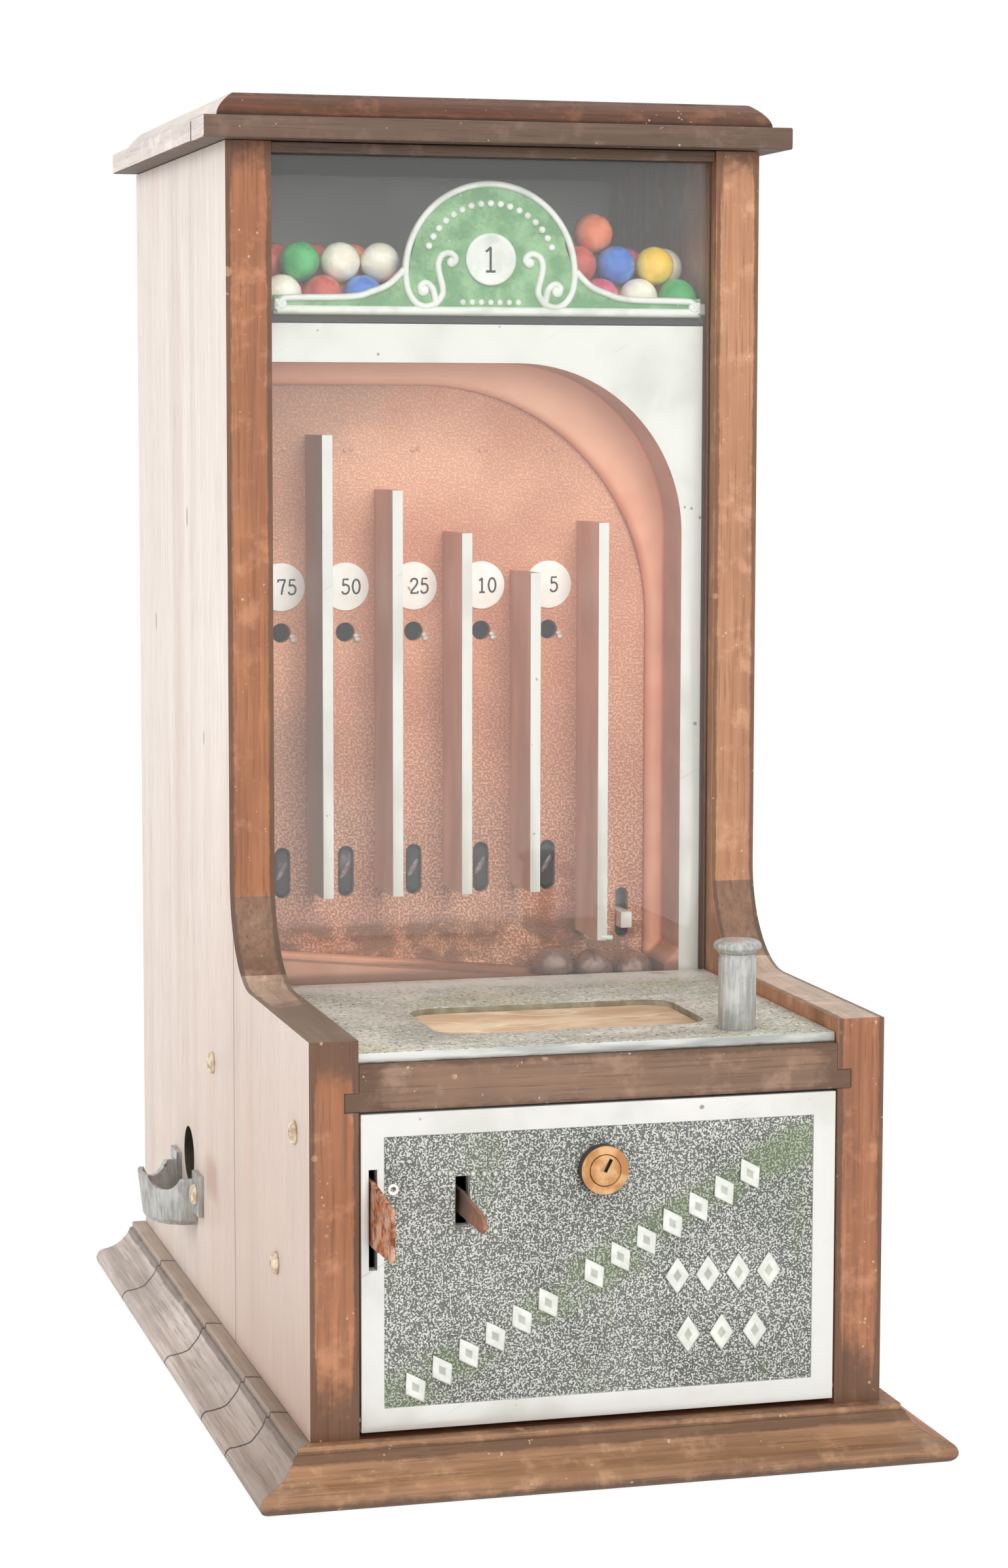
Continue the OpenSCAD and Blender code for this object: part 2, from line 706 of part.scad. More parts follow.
module gum_tube() color(steel) in_case() difference() {
    bar_z(slide_x, slide_s, slide_z + pocket_h + gap, tube_r, hopper_floor - slide_z - pocket_h - gap);
    bar_z(slide_x, slide_s, slide_z, tube_r - 1, case_h);
}

// Shelf that the slide runs on, with a flange screwed to the left board
module gum_bed() color(steel) in_case() difference() {
    union() {
        block([-half_in, bed_s[0], bed_z], [slide_x + bed_margin, bed_s[1], bed_z + bed_t]);
        block([-half_in, bed_s[0], bed_z], [-half_in + flange_t, bed_s[1], bed_flange_z]);
    }
    bar_z(slide_x, drop_s, bed_z - cut, pocket_r, 10);
    bar_x(-half_in - cut, side_screw_at[0][0], side_screw_at[0][1], screw_r, 4);
}

// Channel that leads a gumball down to the hole in the left board
module gum_chute() color(steel) in_case() {
    half = 14;
    end_x = slide_x + half;
    low = [[-half_in, exit_z - 13], [end_x, exit_z - 1]];
    along_y(exit_s - half, 2 * half) polygon([low[0], low[1], low[1] + [0, 2], low[0] + [0, 2]]);
    for (s = [exit_s - half, exit_s + half - sheet_t])
        along_y(s, sheet_t) polygon([low[0], low[1], [end_x, bed_z], [-half_in, bed_z]]);
    block([end_x - sheet_t, exit_s - half, exit_z - 1], [end_x, exit_s + half, bed_z]);
}

// Pull strip with a pocket block at its rear end
module gum_slide() color(rust) in_case() difference() {
    union() {
        along_x(slide_x - tab_t / 2, tab_t) polygon([
            [-tab_out, pull_z[0] + 2], [-tab_out + 3, pull_z[0]], [slide_s - pocket_wall + cut, pull_z[0]],
            [slide_s - pocket_wall + cut, pull_z[1]], [0, pull_z[1]], [-tab_out + 3, pull_z[1] - 3],
            [-tab_out, pull_z[1] - 5]]);
        block([slide_x - pocket_wall, slide_s - pocket_wall, slide_z],
              [slide_x + pocket_wall, slide_s + gum_pull + tube_r, slide_z + pocket_h]);
    }
    bar_z(slide_x, slide_s, slide_z - cut, pocket_r, pocket_h + 2 * cut);
}

// Half-round cup with two ears, on the left board under the gum exit
module gum_cup() color(aluminium) in_case() difference() {
    rim_z = 71.5;
    floor_z = 50;
    dip_turn = 48;
    union() {
        translate([-half_w, exit_s, 0]) rotate([0, 0, 90]) rotate_extrude(angle = 180) polygon([
            [0, floor_z], [cup_r * 0.80, floor_z], [cup_r * 0.90, floor_z + 2.5], [cup_r, rim_z],
            [cup_r - 2.2, rim_z], [cup_r * 0.90 - 2.2, floor_z + 4], [cup_r * 0.80 - 1, floor_z + 2.4],
            [0, floor_z + 2.4]]);
        for (side = [-1, 1]) block([-half_w - 2.4, exit_s + side * (ear_s - 1.5) - 8, ear_z - 9],
                                   [-half_w, exit_s + side * (ear_s - 1.5) + 8, ear_z + 9]);
    }
    for (side = [-1, 1]) {
        translate([-half_w, exit_s, rim_z + 3.5]) rotate([0, 0, side * dip_turn]) rotate([0, -90, 0])
            cylinder(r = 9, h = 2 * cup_r);
        bar_x(-half_w - 10, exit_s + side * ear_s, ear_z, screw_r, 20);
    }
}

// Round-headed wood screw driven in along +X, with its head against x0
module wood_screw(x0, s, z, length) {
    dome = screw_head_r * 1.25;
    rise = 2.6;
    bar_x(x0, s, z, screw_r, length);
    intersection() {
        translate([x0 - rise + dome, s, z]) sphere(dome);
        bar_x(x0 - rise, s, z, screw_head_r, rise);
    }
}

module cup_screws() color(steel) in_case() for (side = [-1, 1])
    wood_screw(-half_w - 2.4, exit_s + side * ear_s, ear_z, 15);

module side_screws() color(brass) in_case() for (at = side_screw_at)
    wood_screw(-half_w, at[0], at[1], board_t + 2);

// Door and lock

module door() color(aluminium) in_case() difference() {
    block([-door_half, 0, door_z0], [door_half, door_t, door_z1]);
    block([-door_half + door_border, -cut, door_z0 + door_border],
          [door_half - door_border, field_recess, door_z1 - door_border]);
    block([lever_x - coin_slot_w / 2, -cut, coin_slot_z[0]],
          [lever_x + coin_slot_w / 2, door_t + cut, coin_slot_z[1]]);
    block([slide_x - pull_slot_w / 2, -cut, pull_slot_z[0]],
          [slide_x + pull_slot_w / 2, door_t + cut, pull_slot_z[1]]);
    bar_y(0, -cut, lock_z, lock_body_r, door_t + 2 * cut);
    for (side = [-1, 1]) mirror([side < 0 ? 1 : 0, 0, 0])
        bar_x(door_half - hinge_deep, hinge_s, hinge_z, hinge_r, hinge_deep + cut);
}

module door_hinge_pins() color(steel) in_case() for (side = [-1, 1]) mirror([side < 0 ? 1 : 0, 0, 0])
    bar_x(door_half - hinge_deep, hinge_s, hinge_z, hinge_r, hinge_deep + 0.8 + hinge_in_board - gap);

// Lock: face ring and barrel in the door
module lock_housing() color(brass) in_case() difference() {
    union() {
        bar_y(0, -lock_proud, lock_z, lock_d / 2, lock_proud + field_recess);
        bar_y(0, 0, lock_z, lock_body_r, 12);
    }
    bar_y(0, -5, lock_z, plug_r + fit, 20);
}

module lock_nut() color(brass) in_case() difference() {
    translate([0, door_t, lock_z]) rotate([-90, 0, 0]) cylinder(r = 12.5, h = 3, $fn = 6);
    bar_y(0, door_t - cut, lock_z, lock_body_r, 6);
}

module lock_plug() color(brass) in_case() difference() {
    union() {
        bar_y(0, -lock_proud - 0.4, lock_z, plug_r, lock_proud + 12.8);
        bar_y(0, 12, lock_z, tail_r, 4);
    }
    translate([0, -lock_proud - 0.4, lock_z]) rotate([0, 27, 0])
        block([-0.5, -cut, -0.4], [0.5, 2.5, 4.6]);
}

// Cam that turns up behind the front rail
module lock_cam() color(steel) in_case() difference() {
    union() {
        block([-31, 12.6, lock_z - 5], [0, 14.4, lock_z + 5]);
        bar_y(0, 12.6, lock_z, 6, 1.8);
    }
    bar_y(0, 12, lock_z, tail_r, 4);
}

// Balls

// Place of the nth ball waiting in the trough, counted back from the foot of the lane
function ball_at(n) =
    [lane_x - n * ball_pitch * cos(trough_angle), ball_s, ball_z + n * ball_pitch * sin(trough_angle)];

module steel_ball(n) color(steel) in_case() translate(ball_at(n)) sphere(d = ball_d);

module steel_ball_1() steel_ball(0);

module steel_ball_2() steel_ball(1);

module steel_ball_3() steel_ball(2);

// Gumballs lie in a close-packed pile: layer 0 is in rows on the floor, layer 1 sits in its hollows
gum_pitch = gum_d + 0.2;
gum_row = gum_pitch * sqrt(3) / 2;
gum_rise = sqrt(pow(gum_d, 2) - pow(gum_pitch, 2) / 3);
function gum_at(site) = [
    (site[2] - 5) * gum_pitch + ((site[0] + site[1]) % 2) * gum_pitch / 2,
    hopper_s[0] + 2.4 + gum_d / 2 + (site[1] + site[0] / 3) * gum_row,
    hopper_floor + gum_d / 2 + site[0] * gum_rise];

// Only the places that the hopper's width holds are filled
module gumballs(tint, sites) color(tint) in_case()
    for (site = sites) if (abs(gum_at(site)[0]) < half_in - gum_d / 2)
        translate(gum_at(site)) sphere(d = gum_d);

// Sites are [layer, row, place along the row]
module gumballs_red() gumballs([0.72, 0.22, 0.16],
    [[1, 1, 0], [0, 0, 1], [1, 0, 7], [0, 1, 5], [0, 1, 2], [0, 2, 8], [1, 1, 1], [0, 2, 3], [0, 1, 9]]);

module gumballs_green() gumballs([0.16, 0.55, 0.24],
    [[1, 0, 0], [0, 0, 10], [0, 1, 3], [0, 0, 5], [0, 2, 6], [0, 2, 10], [1, 1, 8]]);

module gumballs_white() gumballs([0.93, 0.91, 0.84],
    [[0, 0, 0], [0, 0, 9], [1, 0, 1], [1, 0, 2],
     [1, 1, 10], [0, 0, 6], [0, 2, 0], [0, 2, 1], [0, 1, 7]]);

module gumballs_orange() gumballs([0.92, 0.45, 0.24],
    [[1, 1, 2], [2, 0, 8], [0, 0, 3], [0, 1, 6], [0, 2, 9]]);

module gumballs_pink() gumballs([0.80, 0.20, 0.38],
    [[1, 1, 9], [0, 0, 4], [0, 0, 8], [0, 1, 0], [0, 2, 5]]);

module gumballs_blue() gumballs([0.18, 0.38, 0.74],
    [[0, 0, 2], [1, 0, 8], [0, 0, 7], [0, 1, 4], [0, 2, 2]]);

module gumballs_yellow() gumballs([0.95, 0.76, 0.16],
    [[1, 0, 9], [0, 1, 1], [0, 2, 4], [0, 1, 8]]);

side_board_left();
side_board_right();
back_panel();
bottom_board();
base_moulding_front();
base_moulding_left();
base_moulding_right();
front_rail();
head_rail();
plate_cleats();
front_glass();
roof_slab();
roof_cap();
roof_hinge_case_leaves();
roof_hinge_lid_leaves();
roof_hinge_pins();
marquee_plate();
playfield_casting();
score_discs();
comb_rods();
stop_comb();
lane_gate();
striker_plate();
instruction_card();
plunger_bush();
plunger_shaft();
plunger_cap();
kicker_bracket();
kicker_pin();
kicker_arm();
kicker_spring();
coin_bracket();
coin_lever();
coin_plate();
coin_chute();
cash_box();
gum_hopper();
gum_tube();
gum_bed();
gum_chute();
gum_slide();
gum_cup();
cup_screws();
side_screws();
door();
door_hinge_pins();
lock_housing();
lock_nut();
lock_plug();
lock_cam();
steel_ball_1();
steel_ball_2();
steel_ball_3();
gumballs_red();
gumballs_green();
gumballs_white();
gumballs_orange();
gumballs_pink();
gumballs_blue();
gumballs_yellow();
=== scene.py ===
import json
import math
import random
from functools import reduce

import bmesh
import bpy
from mathutils import Euler, Matrix, Vector, noise


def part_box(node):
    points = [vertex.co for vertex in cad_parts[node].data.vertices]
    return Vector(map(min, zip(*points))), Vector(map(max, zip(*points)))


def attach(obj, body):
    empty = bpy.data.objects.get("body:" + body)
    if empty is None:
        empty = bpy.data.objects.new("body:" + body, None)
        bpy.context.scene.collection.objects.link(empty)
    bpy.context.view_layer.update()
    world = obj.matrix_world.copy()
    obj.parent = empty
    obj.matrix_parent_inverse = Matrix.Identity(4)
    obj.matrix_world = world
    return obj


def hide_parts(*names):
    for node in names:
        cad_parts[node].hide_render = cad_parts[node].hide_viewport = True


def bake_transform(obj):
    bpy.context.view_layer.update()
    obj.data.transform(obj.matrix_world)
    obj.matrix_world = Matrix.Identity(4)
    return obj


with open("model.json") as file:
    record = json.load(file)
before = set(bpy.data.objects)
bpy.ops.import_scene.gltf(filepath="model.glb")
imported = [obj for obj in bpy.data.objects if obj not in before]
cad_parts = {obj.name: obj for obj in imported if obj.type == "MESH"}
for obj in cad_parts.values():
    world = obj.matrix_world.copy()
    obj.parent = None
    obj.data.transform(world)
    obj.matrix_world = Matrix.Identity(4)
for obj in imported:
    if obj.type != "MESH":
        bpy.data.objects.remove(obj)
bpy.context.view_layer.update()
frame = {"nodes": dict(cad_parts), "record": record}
record = frame["record"]
scene = bpy.context.scene
body_of = {n: body for body, members in record["behaviour"]["bodies"].items() for n in members}
slot_of = {row["node"]: row["material_slot"] for row in record["subparts"]}

# Frame of the cabinet: x across, s back from the door's face, z up, in millimetres
MM = 0.001
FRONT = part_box("door")[0].y
RIM_Y = FRONT + 0.169
STEP_Y = FRONT + 0.197
FIELD_Y = FRONT + 0.203
PLATE_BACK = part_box("front_glass")[0].y


def at(x, s, z):
    return Vector((x * MM, FRONT + s * MM, z * MM))


def mm(*sizes):
    return tuple(size * MM for size in sizes)


def tint(red, green, blue):
    """Colour as seen on a screen, 0 to 255, turned into the linear values that shaders take."""
    parts = [c / 255 for c in (red, green, blue)]
    return tuple(((p + 0.055) / 1.055) ** 2.4 if p > 0.04045 else p / 12.92 for p in parts) + (1.0,)


# Node trees

class Value:
    """Output of a node that can be reckoned with. Each step adds a node to its tree."""

    def __init__(self, draw, socket):
        self.draw = draw
        self.socket = socket

    def __add__(self, other):
        return self.draw.math("ADD", self, other)

    __radd__ = __add__

    def __sub__(self, other):
        return self.draw.math("SUBTRACT", self, other)

    def __rsub__(self, other):
        return self.draw.math("SUBTRACT", other, self)

    def __mul__(self, other):
        return self.draw.math("MULTIPLY", self, other)

    def __abs__(self):
        return self.draw.math("ABSOLUTE", self)

    def span(self, low, high, out_low=0.0, out_high=1.0):
        """Smooth change from out_low to out_high as the value goes from low to high."""
        return self.draw.made("ShaderNodeMapRange", {
            "Value": self, "From Min": low, "From Max": high, "To Min": out_low, "To Max": out_high},
            interpolation_type="SMOOTHSTEP")

    def mix(self, at_0, at_1):
        """Colour between two colours."""
        return self.draw.made("ShaderNodeMix", {0: self, 6: at_0, 7: at_1}, 2, data_type="RGBA")


class Tree:
    """Short calls that add nodes to one tree. They take plain values, sockets and Values."""

    def __init__(self, tree, prefix="ShaderNode"):
        self.tree = tree
        self.prefix = prefix

    def give(self, socket, value):
        """Links a socket or sets its value. A colour is three numbers from 0 to 255."""
        source = getattr(value, "socket", value)
        if isinstance(source, bpy.types.NodeSocket):
            self.tree.links.new(source, socket)
        else:
            socket.default_value = tint(*value) if socket.type == "RGBA" else value

    def node(self, kind, inputs=None, **settings):
        full = kind if kind.startswith(("Shader", "Function", "Geometry")) else self.prefix + kind
        made = self.tree.nodes.new(full)
        for name, value in settings.items():
            setattr(made, name, value)
        for name, value in (inputs or {}).items():
            self.give(made.inputs[name], value)
        return made

    def values(self, sockets):
        return {socket.name: Value(self, socket) for socket in sockets}

    def made(self, kind, inputs=None, output=0, **settings):
        return Value(self, self.node(kind, inputs, **settings).outputs[output])

    def use(self, tree, **inputs):
        return self.values(self.node("Group", inputs, node_tree=tree).outputs)

    def math(self, operation, a, b=0.0):
        return self.made("ShaderNodeMath", {0: a, 1: b}, operation=operation)

    def most(self, *values):
        return reduce(lambda a, b: self.math("MAXIMUM", a, b), values)

    def vector(self, x, y, z):
        return self.made("ShaderNodeCombineXYZ", {0: x, 1: y, 2: z})

    def moved(self, where, stretch=(1, 1, 1), turn=(0, 0, 0), shift=(0, 0, 0)):
        return self.made("ShaderNodeMapping", {
            "Vector": where, "Location": shift, "Rotation": turn, "Scale": stretch})

    def noise(self, where, scale, detail=2.0, rough=0.5):
        return self.made("ShaderNodeTexNoise", {
            "Vector": where, "Scale": scale, "Detail": detail, "Roughness": rough})


def sockets(tree, way, names):
    for name, form in names:
        tree.interface.new_socket(name, in_out=way, socket_type="NodeSocket" + form)


# Shared effects

def effect(**takes):
    """Makes a node group of a function, which is given the place and the inputs and gives the outputs."""
    def make(build):
        tree = bpy.data.node_groups.new(build.__name__, "ShaderNodeTree")
        sockets(tree, "INPUT", [("Vector", "Vector"), *takes.items()])
        draw = Tree(tree)
        given = draw.values(tree.nodes.new("NodeGroupInput").outputs)
        made = build(draw, given["Vector"], *[given[name] for name in takes])
        sockets(tree, "OUTPUT", [(name, "Color" if name == "Color" else "Float") for name in made])
        results = tree.nodes.new("NodeGroupOutput").inputs
        for name, value in made.items():
            draw.give(results[name], value)
        return tree
    return make


@effect(Light="Color", Dark="Color", Pore="Color")
def wood_grain(draw, where, light, dark, pore):
    """Fibres, broad figure and open pores of a board whose grain runs along the vector's z."""
    fibres = draw.noise(draw.moved(where, (420, 420, 12)), 1, 4, 0.62)
    figure = draw.noise(draw.moved(where, (64, 64, 5)), 1, 3, 0.55)
    pores = draw.noise(draw.moved(where, (1250, 1250, 36)), 1, 1).span(0.6, 0.72)
    share = (fibres * 0.55 + figure * 0.45).span(0.33, 0.67)
    colour = (pores * 0.4).mix(share.mix(dark, light), pore)
    return {"Color": colour, "Height": fibres * 0.6 - pores * 0.5}


@effect(Amount="Float")
def grime(draw, where, amount):
    """Broken dirt: a mask that spreads as the amount rises."""
    broad = draw.noise(where, 42, 4, 0.62) * 0.7
    fine = draw.noise(where, 330, 2, 0.6) * 0.3
    level = 0.86 - amount * 0.72
    return {"Mask": (broad + fine - level).span(-0.12, 0.17)}


@effect(Scale="Float", Amount="Float")
def flecks(draw, where, scale, amount):
    """Small scattered spots, with their size and how many there are."""
    spot = draw.made("TexVoronoi", {"Vector": where, "Scale": scale}, "Distance")
    gate = draw.noise(where, scale * 0.31, 1)
    size = gate.span(0.78 - amount * 0.4, 0.85, 0, 0.42)
    return {"Mask": (size - spot).span(-0.03, 0.08)}


@effect()
def scratches(draw, where):
    """Thin broken lines that run along the vector's x."""
    lines = draw.noise(draw.moved(where, (14, 900, 900)), 1, 1)
    breaks = draw.noise(where, 60, 1)
    return {"Mask": lines.span(0.7, 0.76) * breaks.span(0.5, 0.62)}


@effect(Scale="Float")
def pebble(draw, where, scale):
    """Rounded cast pebbles, as height from 0 to 1."""
    return {"Height": draw.noise(where, scale, 1, 0.4).span(0.41, 0.6)}


@effect(Metal="Color", Amount="Float")
def rust(draw, where, metal, amount):
    """Rust that eats a surface: colour and a mask of how deep it goes."""
    level = 0.78 - amount * 0.6
    mask = (draw.noise(where, 120, 5, 0.68) - level).span(-0.06, 0.12)
    flow = draw.noise(where, 420, 3).span(0.38, 0.62).mix((118, 66, 42), (196, 122, 80))
    return {"Color": mask.mix(metal, flow), "Mask": mask}


# The same worm pattern shapes the door's mesh and paints it
WORM_SCALE = 1500
WORM_LOW, WORM_HIGH = 0.42, 0.51


@effect()
def worm_lines(draw, where):
    return {"Mask": draw.noise(where, WORM_SCALE, 0).span(WORM_LOW, WORM_HIGH)}


# Materials

class Skin(Tree):
    """Tree of one material, whose colour is laid on in coats. A change is what moved() takes."""

    def __init__(self, tree):
        super().__init__(tree)
        self.surface = tree.nodes["Principled BSDF"].inputs
        self.where = self.made("TexCoord", output="Object")
        self.x, self.y, self.z = self.values(self.node("SeparateXYZ", {0: self.where}).outputs).values()
        self.colour = None

    def place(self, change):
        return self.moved(self.where, **change) if change else self.where

    def cloud(self, scale, low, high, detail=3, rough=0.5, **change):
        """Soft patches: noise, cut between two levels."""
        return self.noise(self.place(change), scale, detail, rough).span(low, high)

    def specks(self, scale, amount, **change):
        return self.use(flecks, Vector=self.place(change), Scale=scale, Amount=amount)["Mask"]

    def dirt(self, amount, **change):
        return self.use(grime, Vector=self.place(change), Amount=amount)["Mask"]

    def cuts(self, angle):
        return self.use(scratches, Vector=self.place({"turn": (0, angle, 0)}))["Mask"]

    def lumps(self, scale):
        return self.use(pebble, Vector=self.where, Scale=scale)["Height"]

    def grain(self, axis, light, dark, pore):
        """First coat of wood, with its grain along an axis. Gives the fibres' height."""
        x, y, z = self.x, self.y, self.z
        where = self.vector(*{"x": (y, z, x), "y": (z, x, y), "z": (x, y, z)}[axis])
        made = self.use(wood_grain, Vector=where, Light=light, Dark=dark, Pore=pore)
        self.colour = made["Color"]
        return made["Height"]

    def rusted(self, metal, amount):
        """First coat of rusty metal. Gives the mask of the rust."""
        made = self.use(rust, Vector=self.where, Metal=metal, Amount=amount)
        self.colour = made["Color"]
        return made["Mask"]

    def over(self, mask, share, colour):
        """Lays a colour on by mask times share, and gives the mask."""
        self.colour = (mask * share).mix(self.colour, colour)
        return mask

    def base(self, mask, at_0, at_1, share=1):
        """First coat, from one colour to another by mask times share. Gives the mask."""
        self.colour = at_0
        return self.over(mask, share, at_1)

    def finish(self, rough, height=None, deep=0):
        """Colour, roughness as a value or as (mask, at 0, at 1), and bumps of a depth in metres."""
        if isinstance(rough, tuple):
            rough = rough[0].span(0, 1, *rough[1:])
        self.give(self.surface["Base Color"], self.colour)
        self.give(self.surface["Roughness"], rough)
        if height is not None:
            bump = self.made("Bump", {"Height": height, "Distance": deep, "Strength": 1})
            self.give(self.surface["Normal"], bump)

    def mixed_in(self, share, shader):
        """Gives a share of the surface to another shader."""
        nodes = self.tree.nodes
        both = self.made("MixShader", {0: share, 1: nodes["Principled BSDF"].outputs[0], 2: shader})
        self.give(nodes["Material Output"].inputs["Surface"], both)


def material(name=None, **plain):
    """Makes a material of a function that lays its coats. Plain values are set on the shader's own sockets."""
    def make(coats):
        made = bpy.data.materials.new(name or coats.__name__)
        made.use_nodes = True
        skin = Skin(made.node_tree)
        for socket, value in plain.items():
            skin.surface[socket.replace("_", " ")].default_value = value
        coats(skin)
        return made
    return make


def wood(name, axis, light, dark, pore, dirt=(82, 60, 46), amount=0.25, extra=None, rough=0.46):
    """Worn varnished wood, with dirt where the extra mask says, and on the roof painted shade in its seams."""
    @material(name, Coat_Weight=0.12, Coat_Roughness=0.35)
    def made(skin):
        fibres = skin.grain(axis, light, dark, pore)
        skin.over(skin.cloud(26, 0.4, 0.68, 4, 0.62), 0.45, dark)
        worn = skin.cloud(75, 0.5, 0.7, 4, 0.66, shift=(0.4, 0.2, 0.1))
        skin.over(worn, 0.45, [min(255, c + 30) for c in light])
        dirty = skin.over(skin.dirt(extra(skin) + amount if extra else amount), 0.72, dirt)
        skin.over(skin.specks(150, 0.52), 0.34, (206, 168, 134))
        skin.over(skin.specks(520, 0.55, shift=(0.3, 0.1, 0.2)), 0.45, (216, 186, 156))
        skin.finish(rough + dirty * 0.22, fibres - dirty * 0.3, 0.0002)
    return made


def board_dirt(skin):
    """Dirt along the long edges of the boards' fronts, under the roof, at the shoulder and at the foot."""
    across = abs(skin.x)
    edge = skin.math("MINIMUM", abs(across - 0.0953), abs(across - 0.1143))
    shoulder = skin.y.span(-0.06, -0.12) * skin.z.span(0.15, 0.178) * skin.x.span(0.05, -0.05, 0.1, 1)
    ends = skin.most(skin.z.span(0.49, 0.522), skin.z.span(0.06, 0.016, 0, 1.3))
    return edge.span(0.0034, 0.0002, 0, 0.95) + ends * 0.54 + shoulder * 0.95


def rail_dirt(skin):
    """Dirt at the rail's ends and along its edges."""
    ends = abs(skin.x).span(0.078, 0.1, 0, 0.8)
    return ends + abs(skin.z - 0.1545).span(0.0055, 0.0092, 0, 0.5)


def foot_dirt(skin):
    """Dirt in the moulding's groove, at its foot and on its top."""
    groove = abs(skin.z - 0.0165).span(0.0034, 0.0006, 0, 0.75)
    return groove + skin.z.span(0.0065, 0, 0, 0.6) + skin.z.span(0.019, 0.021, 0, 0.35)


def roof_dirt(skin):
    """Dirt at the roof's ends; dirt and painted shade in the seams of its profile."""
    ends = abs(skin.x).span(0.1, 0.126, 0, 0.22)
    seams = ((0.5282, 0.5254, 0.6), (0.518, 0.5166, 0.35), (0.5325, 0.535, 0.3))
    return sum([skin.z.span(low, high, 0, share) for low, high, share in seams], ends)


oak_front = wood("oak_front", "z", (164, 109, 75), (127, 81, 56), (92, 60, 41), (76, 62, 52), 0.18, board_dirt)
oak_front_right = wood("oak_front_right", "z", (178, 130, 97), (147, 103, 76), (108, 73, 54), amount=0.16,
                       extra=board_dirt)
oak_top = wood("oak_top", "y", (190, 163, 141), (152, 128, 109), (110, 90, 75), (92, 78, 67), 0.14,
               board_dirt, 0.5)
oak_curve = wood("oak_curve", "z", (134, 102, 82), (103, 77, 61), (76, 57, 45), (80, 66, 56), 0.2, board_dirt)
oak_side = wood("oak_side", "z", (178, 124, 88), (140, 94, 66), (104, 70, 50), amount=0.2)
oak_rail = wood("oak_rail", "x", (130, 101, 81), (102, 78, 62), (74, 56, 44), amount=0.2, extra=rail_dirt)
oak_foot = wood("oak_foot", "x", (162, 122, 88), (120, 86, 62), (78, 54, 40), amount=0.22, extra=foot_dirt)
oak_foot_right = wood("oak_foot_right", "y", (168, 114, 80), (116, 76, 52), (80, 52, 36), amount=0.24,
                      extra=foot_dirt)
cap_wood = wood("cap_wood", "x", (112, 64, 34), (70, 39, 21), (40, 25, 17), (46, 33, 27), 0.24, roof_dirt, 0.4)
slab_wood = wood("slab_wood", "x", (164, 129, 108), (122, 95, 79), (76, 59, 49), (66, 53, 45), 0.24,
                 roof_dirt, 0.44)
head_wood = wood("head_wood", "x", (98, 76, 60), (72, 55, 44), (50, 38, 30), amount=0.26, rough=0.58)
dark_wood, dark_wood_across = [
    wood(name, axis, (124, 80, 54), (84, 54, 38), (58, 38, 28), amount=0.26, rough=0.58)
    for name, axis in (("dark_wood", "z"), ("dark_wood_across", "x"))]
# Left ends of the roof: pale with the same painted glare as the left board
bleached_roof = wood("bleached_roof", "y", (226, 214, 208), (204, 190, 182), (160, 142, 132), amount=0.06)


@material()
def bleached_oak(skin):
    """Outer face of the left board: pale with painted glare, pinker low down, with a painted shadow beside the
    cup and a joint between its planks.
    """
    y, z = skin.y, skin.z
    # Painted glare: these pale colours stand in for the glare of the light on the left side
    fibres = skin.grain("z", (233, 223, 214), (222, 209, 200), (192, 174, 164))
    # The painted glare gives way to pinker wood low down and towards the front
    low = z.span(0.33, 0.06) * y.span(0.12, -0.05, 0.45, 1)
    skin.over(low, 0.78, (198, 172, 157))
    streak = skin.over(skin.cloud(1, 0.52, 0.72, stretch=(36, 36, 1.6)), 0.24, (184, 174, 170))
    skin.over(skin.cloud(1, 0.55, 0.75, 2, stretch=(26, 26, 3), shift=(3, 1, 5)), 0.22, (202, 158, 132))
    # Painted shadow cast by the cup onto the board beside it
    cup_shadow = abs(y - FIELD_Y).span(0.02, 0.006) * abs(z - 0.079).span(0.013, 0.004)
    skin.over(cup_shadow, 0.5, (172, 132, 114))
    foot = z.span(0.085, 0.02) * y.span(0.02, -0.15)
    skin.over(foot, 0.42, (160, 124, 105))
    joint = abs(y - -0.0285).span(0.001, 0.0003) * z.span(0.215, 0.185)
    skin.over(joint, 0.75, (128, 98, 85))
    pits = skin.over(skin.specks(120, 0.22, stretch=(1, 1, 0.4)), 0.6, (128, 106, 98))
    hollows = joint * 1.2 + pits * 0.7
    skin.finish((streak, 0.5, 0.62), fibres - hollows, 0.0003)


CRACKS = (298, 183, 96, 44)


@material()
def cracked_oak(skin):
    """Left base moulding: grey and bleached, split across in four places."""
    fibres = skin.grain("y", (224, 210, 200), (160, 142, 130), (124, 108, 98))
    grey = skin.over(skin.cloud(30, 0.42, 0.68), 0.5, (176, 168, 162))
    lip = skin.z.span(0.0165, 0.0185)
    skin.over(lip, 0.7, (158, 136, 117))
    near = skin.y.span(FRONT + 0.2, FRONT - 0.03)
    skin.over(near, 0.74, (116, 100, 89))
    wander = skin.noise(skin.vector(skin.x, 0, skin.z), 90, 3) - 0.5
    length = skin.y + wander * 0.016
    split = skin.most(*[abs(length - (FRONT + s * MM)).span(0.0011, 0.0005) for s in CRACKS])
    skin.over(skin.dirt(abs(skin.z - 0.017).span(0.0024, 0.0005, 0.2, 0.8)), 0.7, (96, 80, 70))
    skin.over(split, 0.9, (44, 36, 32))
    skin.finish((grey, 0.5, 0.66), fibres - split * 2, 0.0003)


def buffed(name, light, dull):
    """Buffed aluminium with faint smears, dark specks and fine scratches."""
    @material(name, Metallic=0.45)
    def made(skin):
        smear = skin.base(skin.cloud(24, 0.42, 0.7, 4, 0.6), light, dull, 0.45)
        dots = skin.over(skin.specks(260, 0.4), 0.75, (112, 108, 98))
        lines = skin.over(skin.cuts(0.5), 0.35, (168, 168, 164))
        height = smear * 0.2 - (dots + lines * 0.4)
        skin.finish((smear, 0.3, 0.46), height, 0.00012)
    return made


bright_casting = buffed("bright_casting", (241, 238, 232), (222, 219, 211))
door_edge = buffed("door_edge", (217, 216, 211), (194, 193, 184))


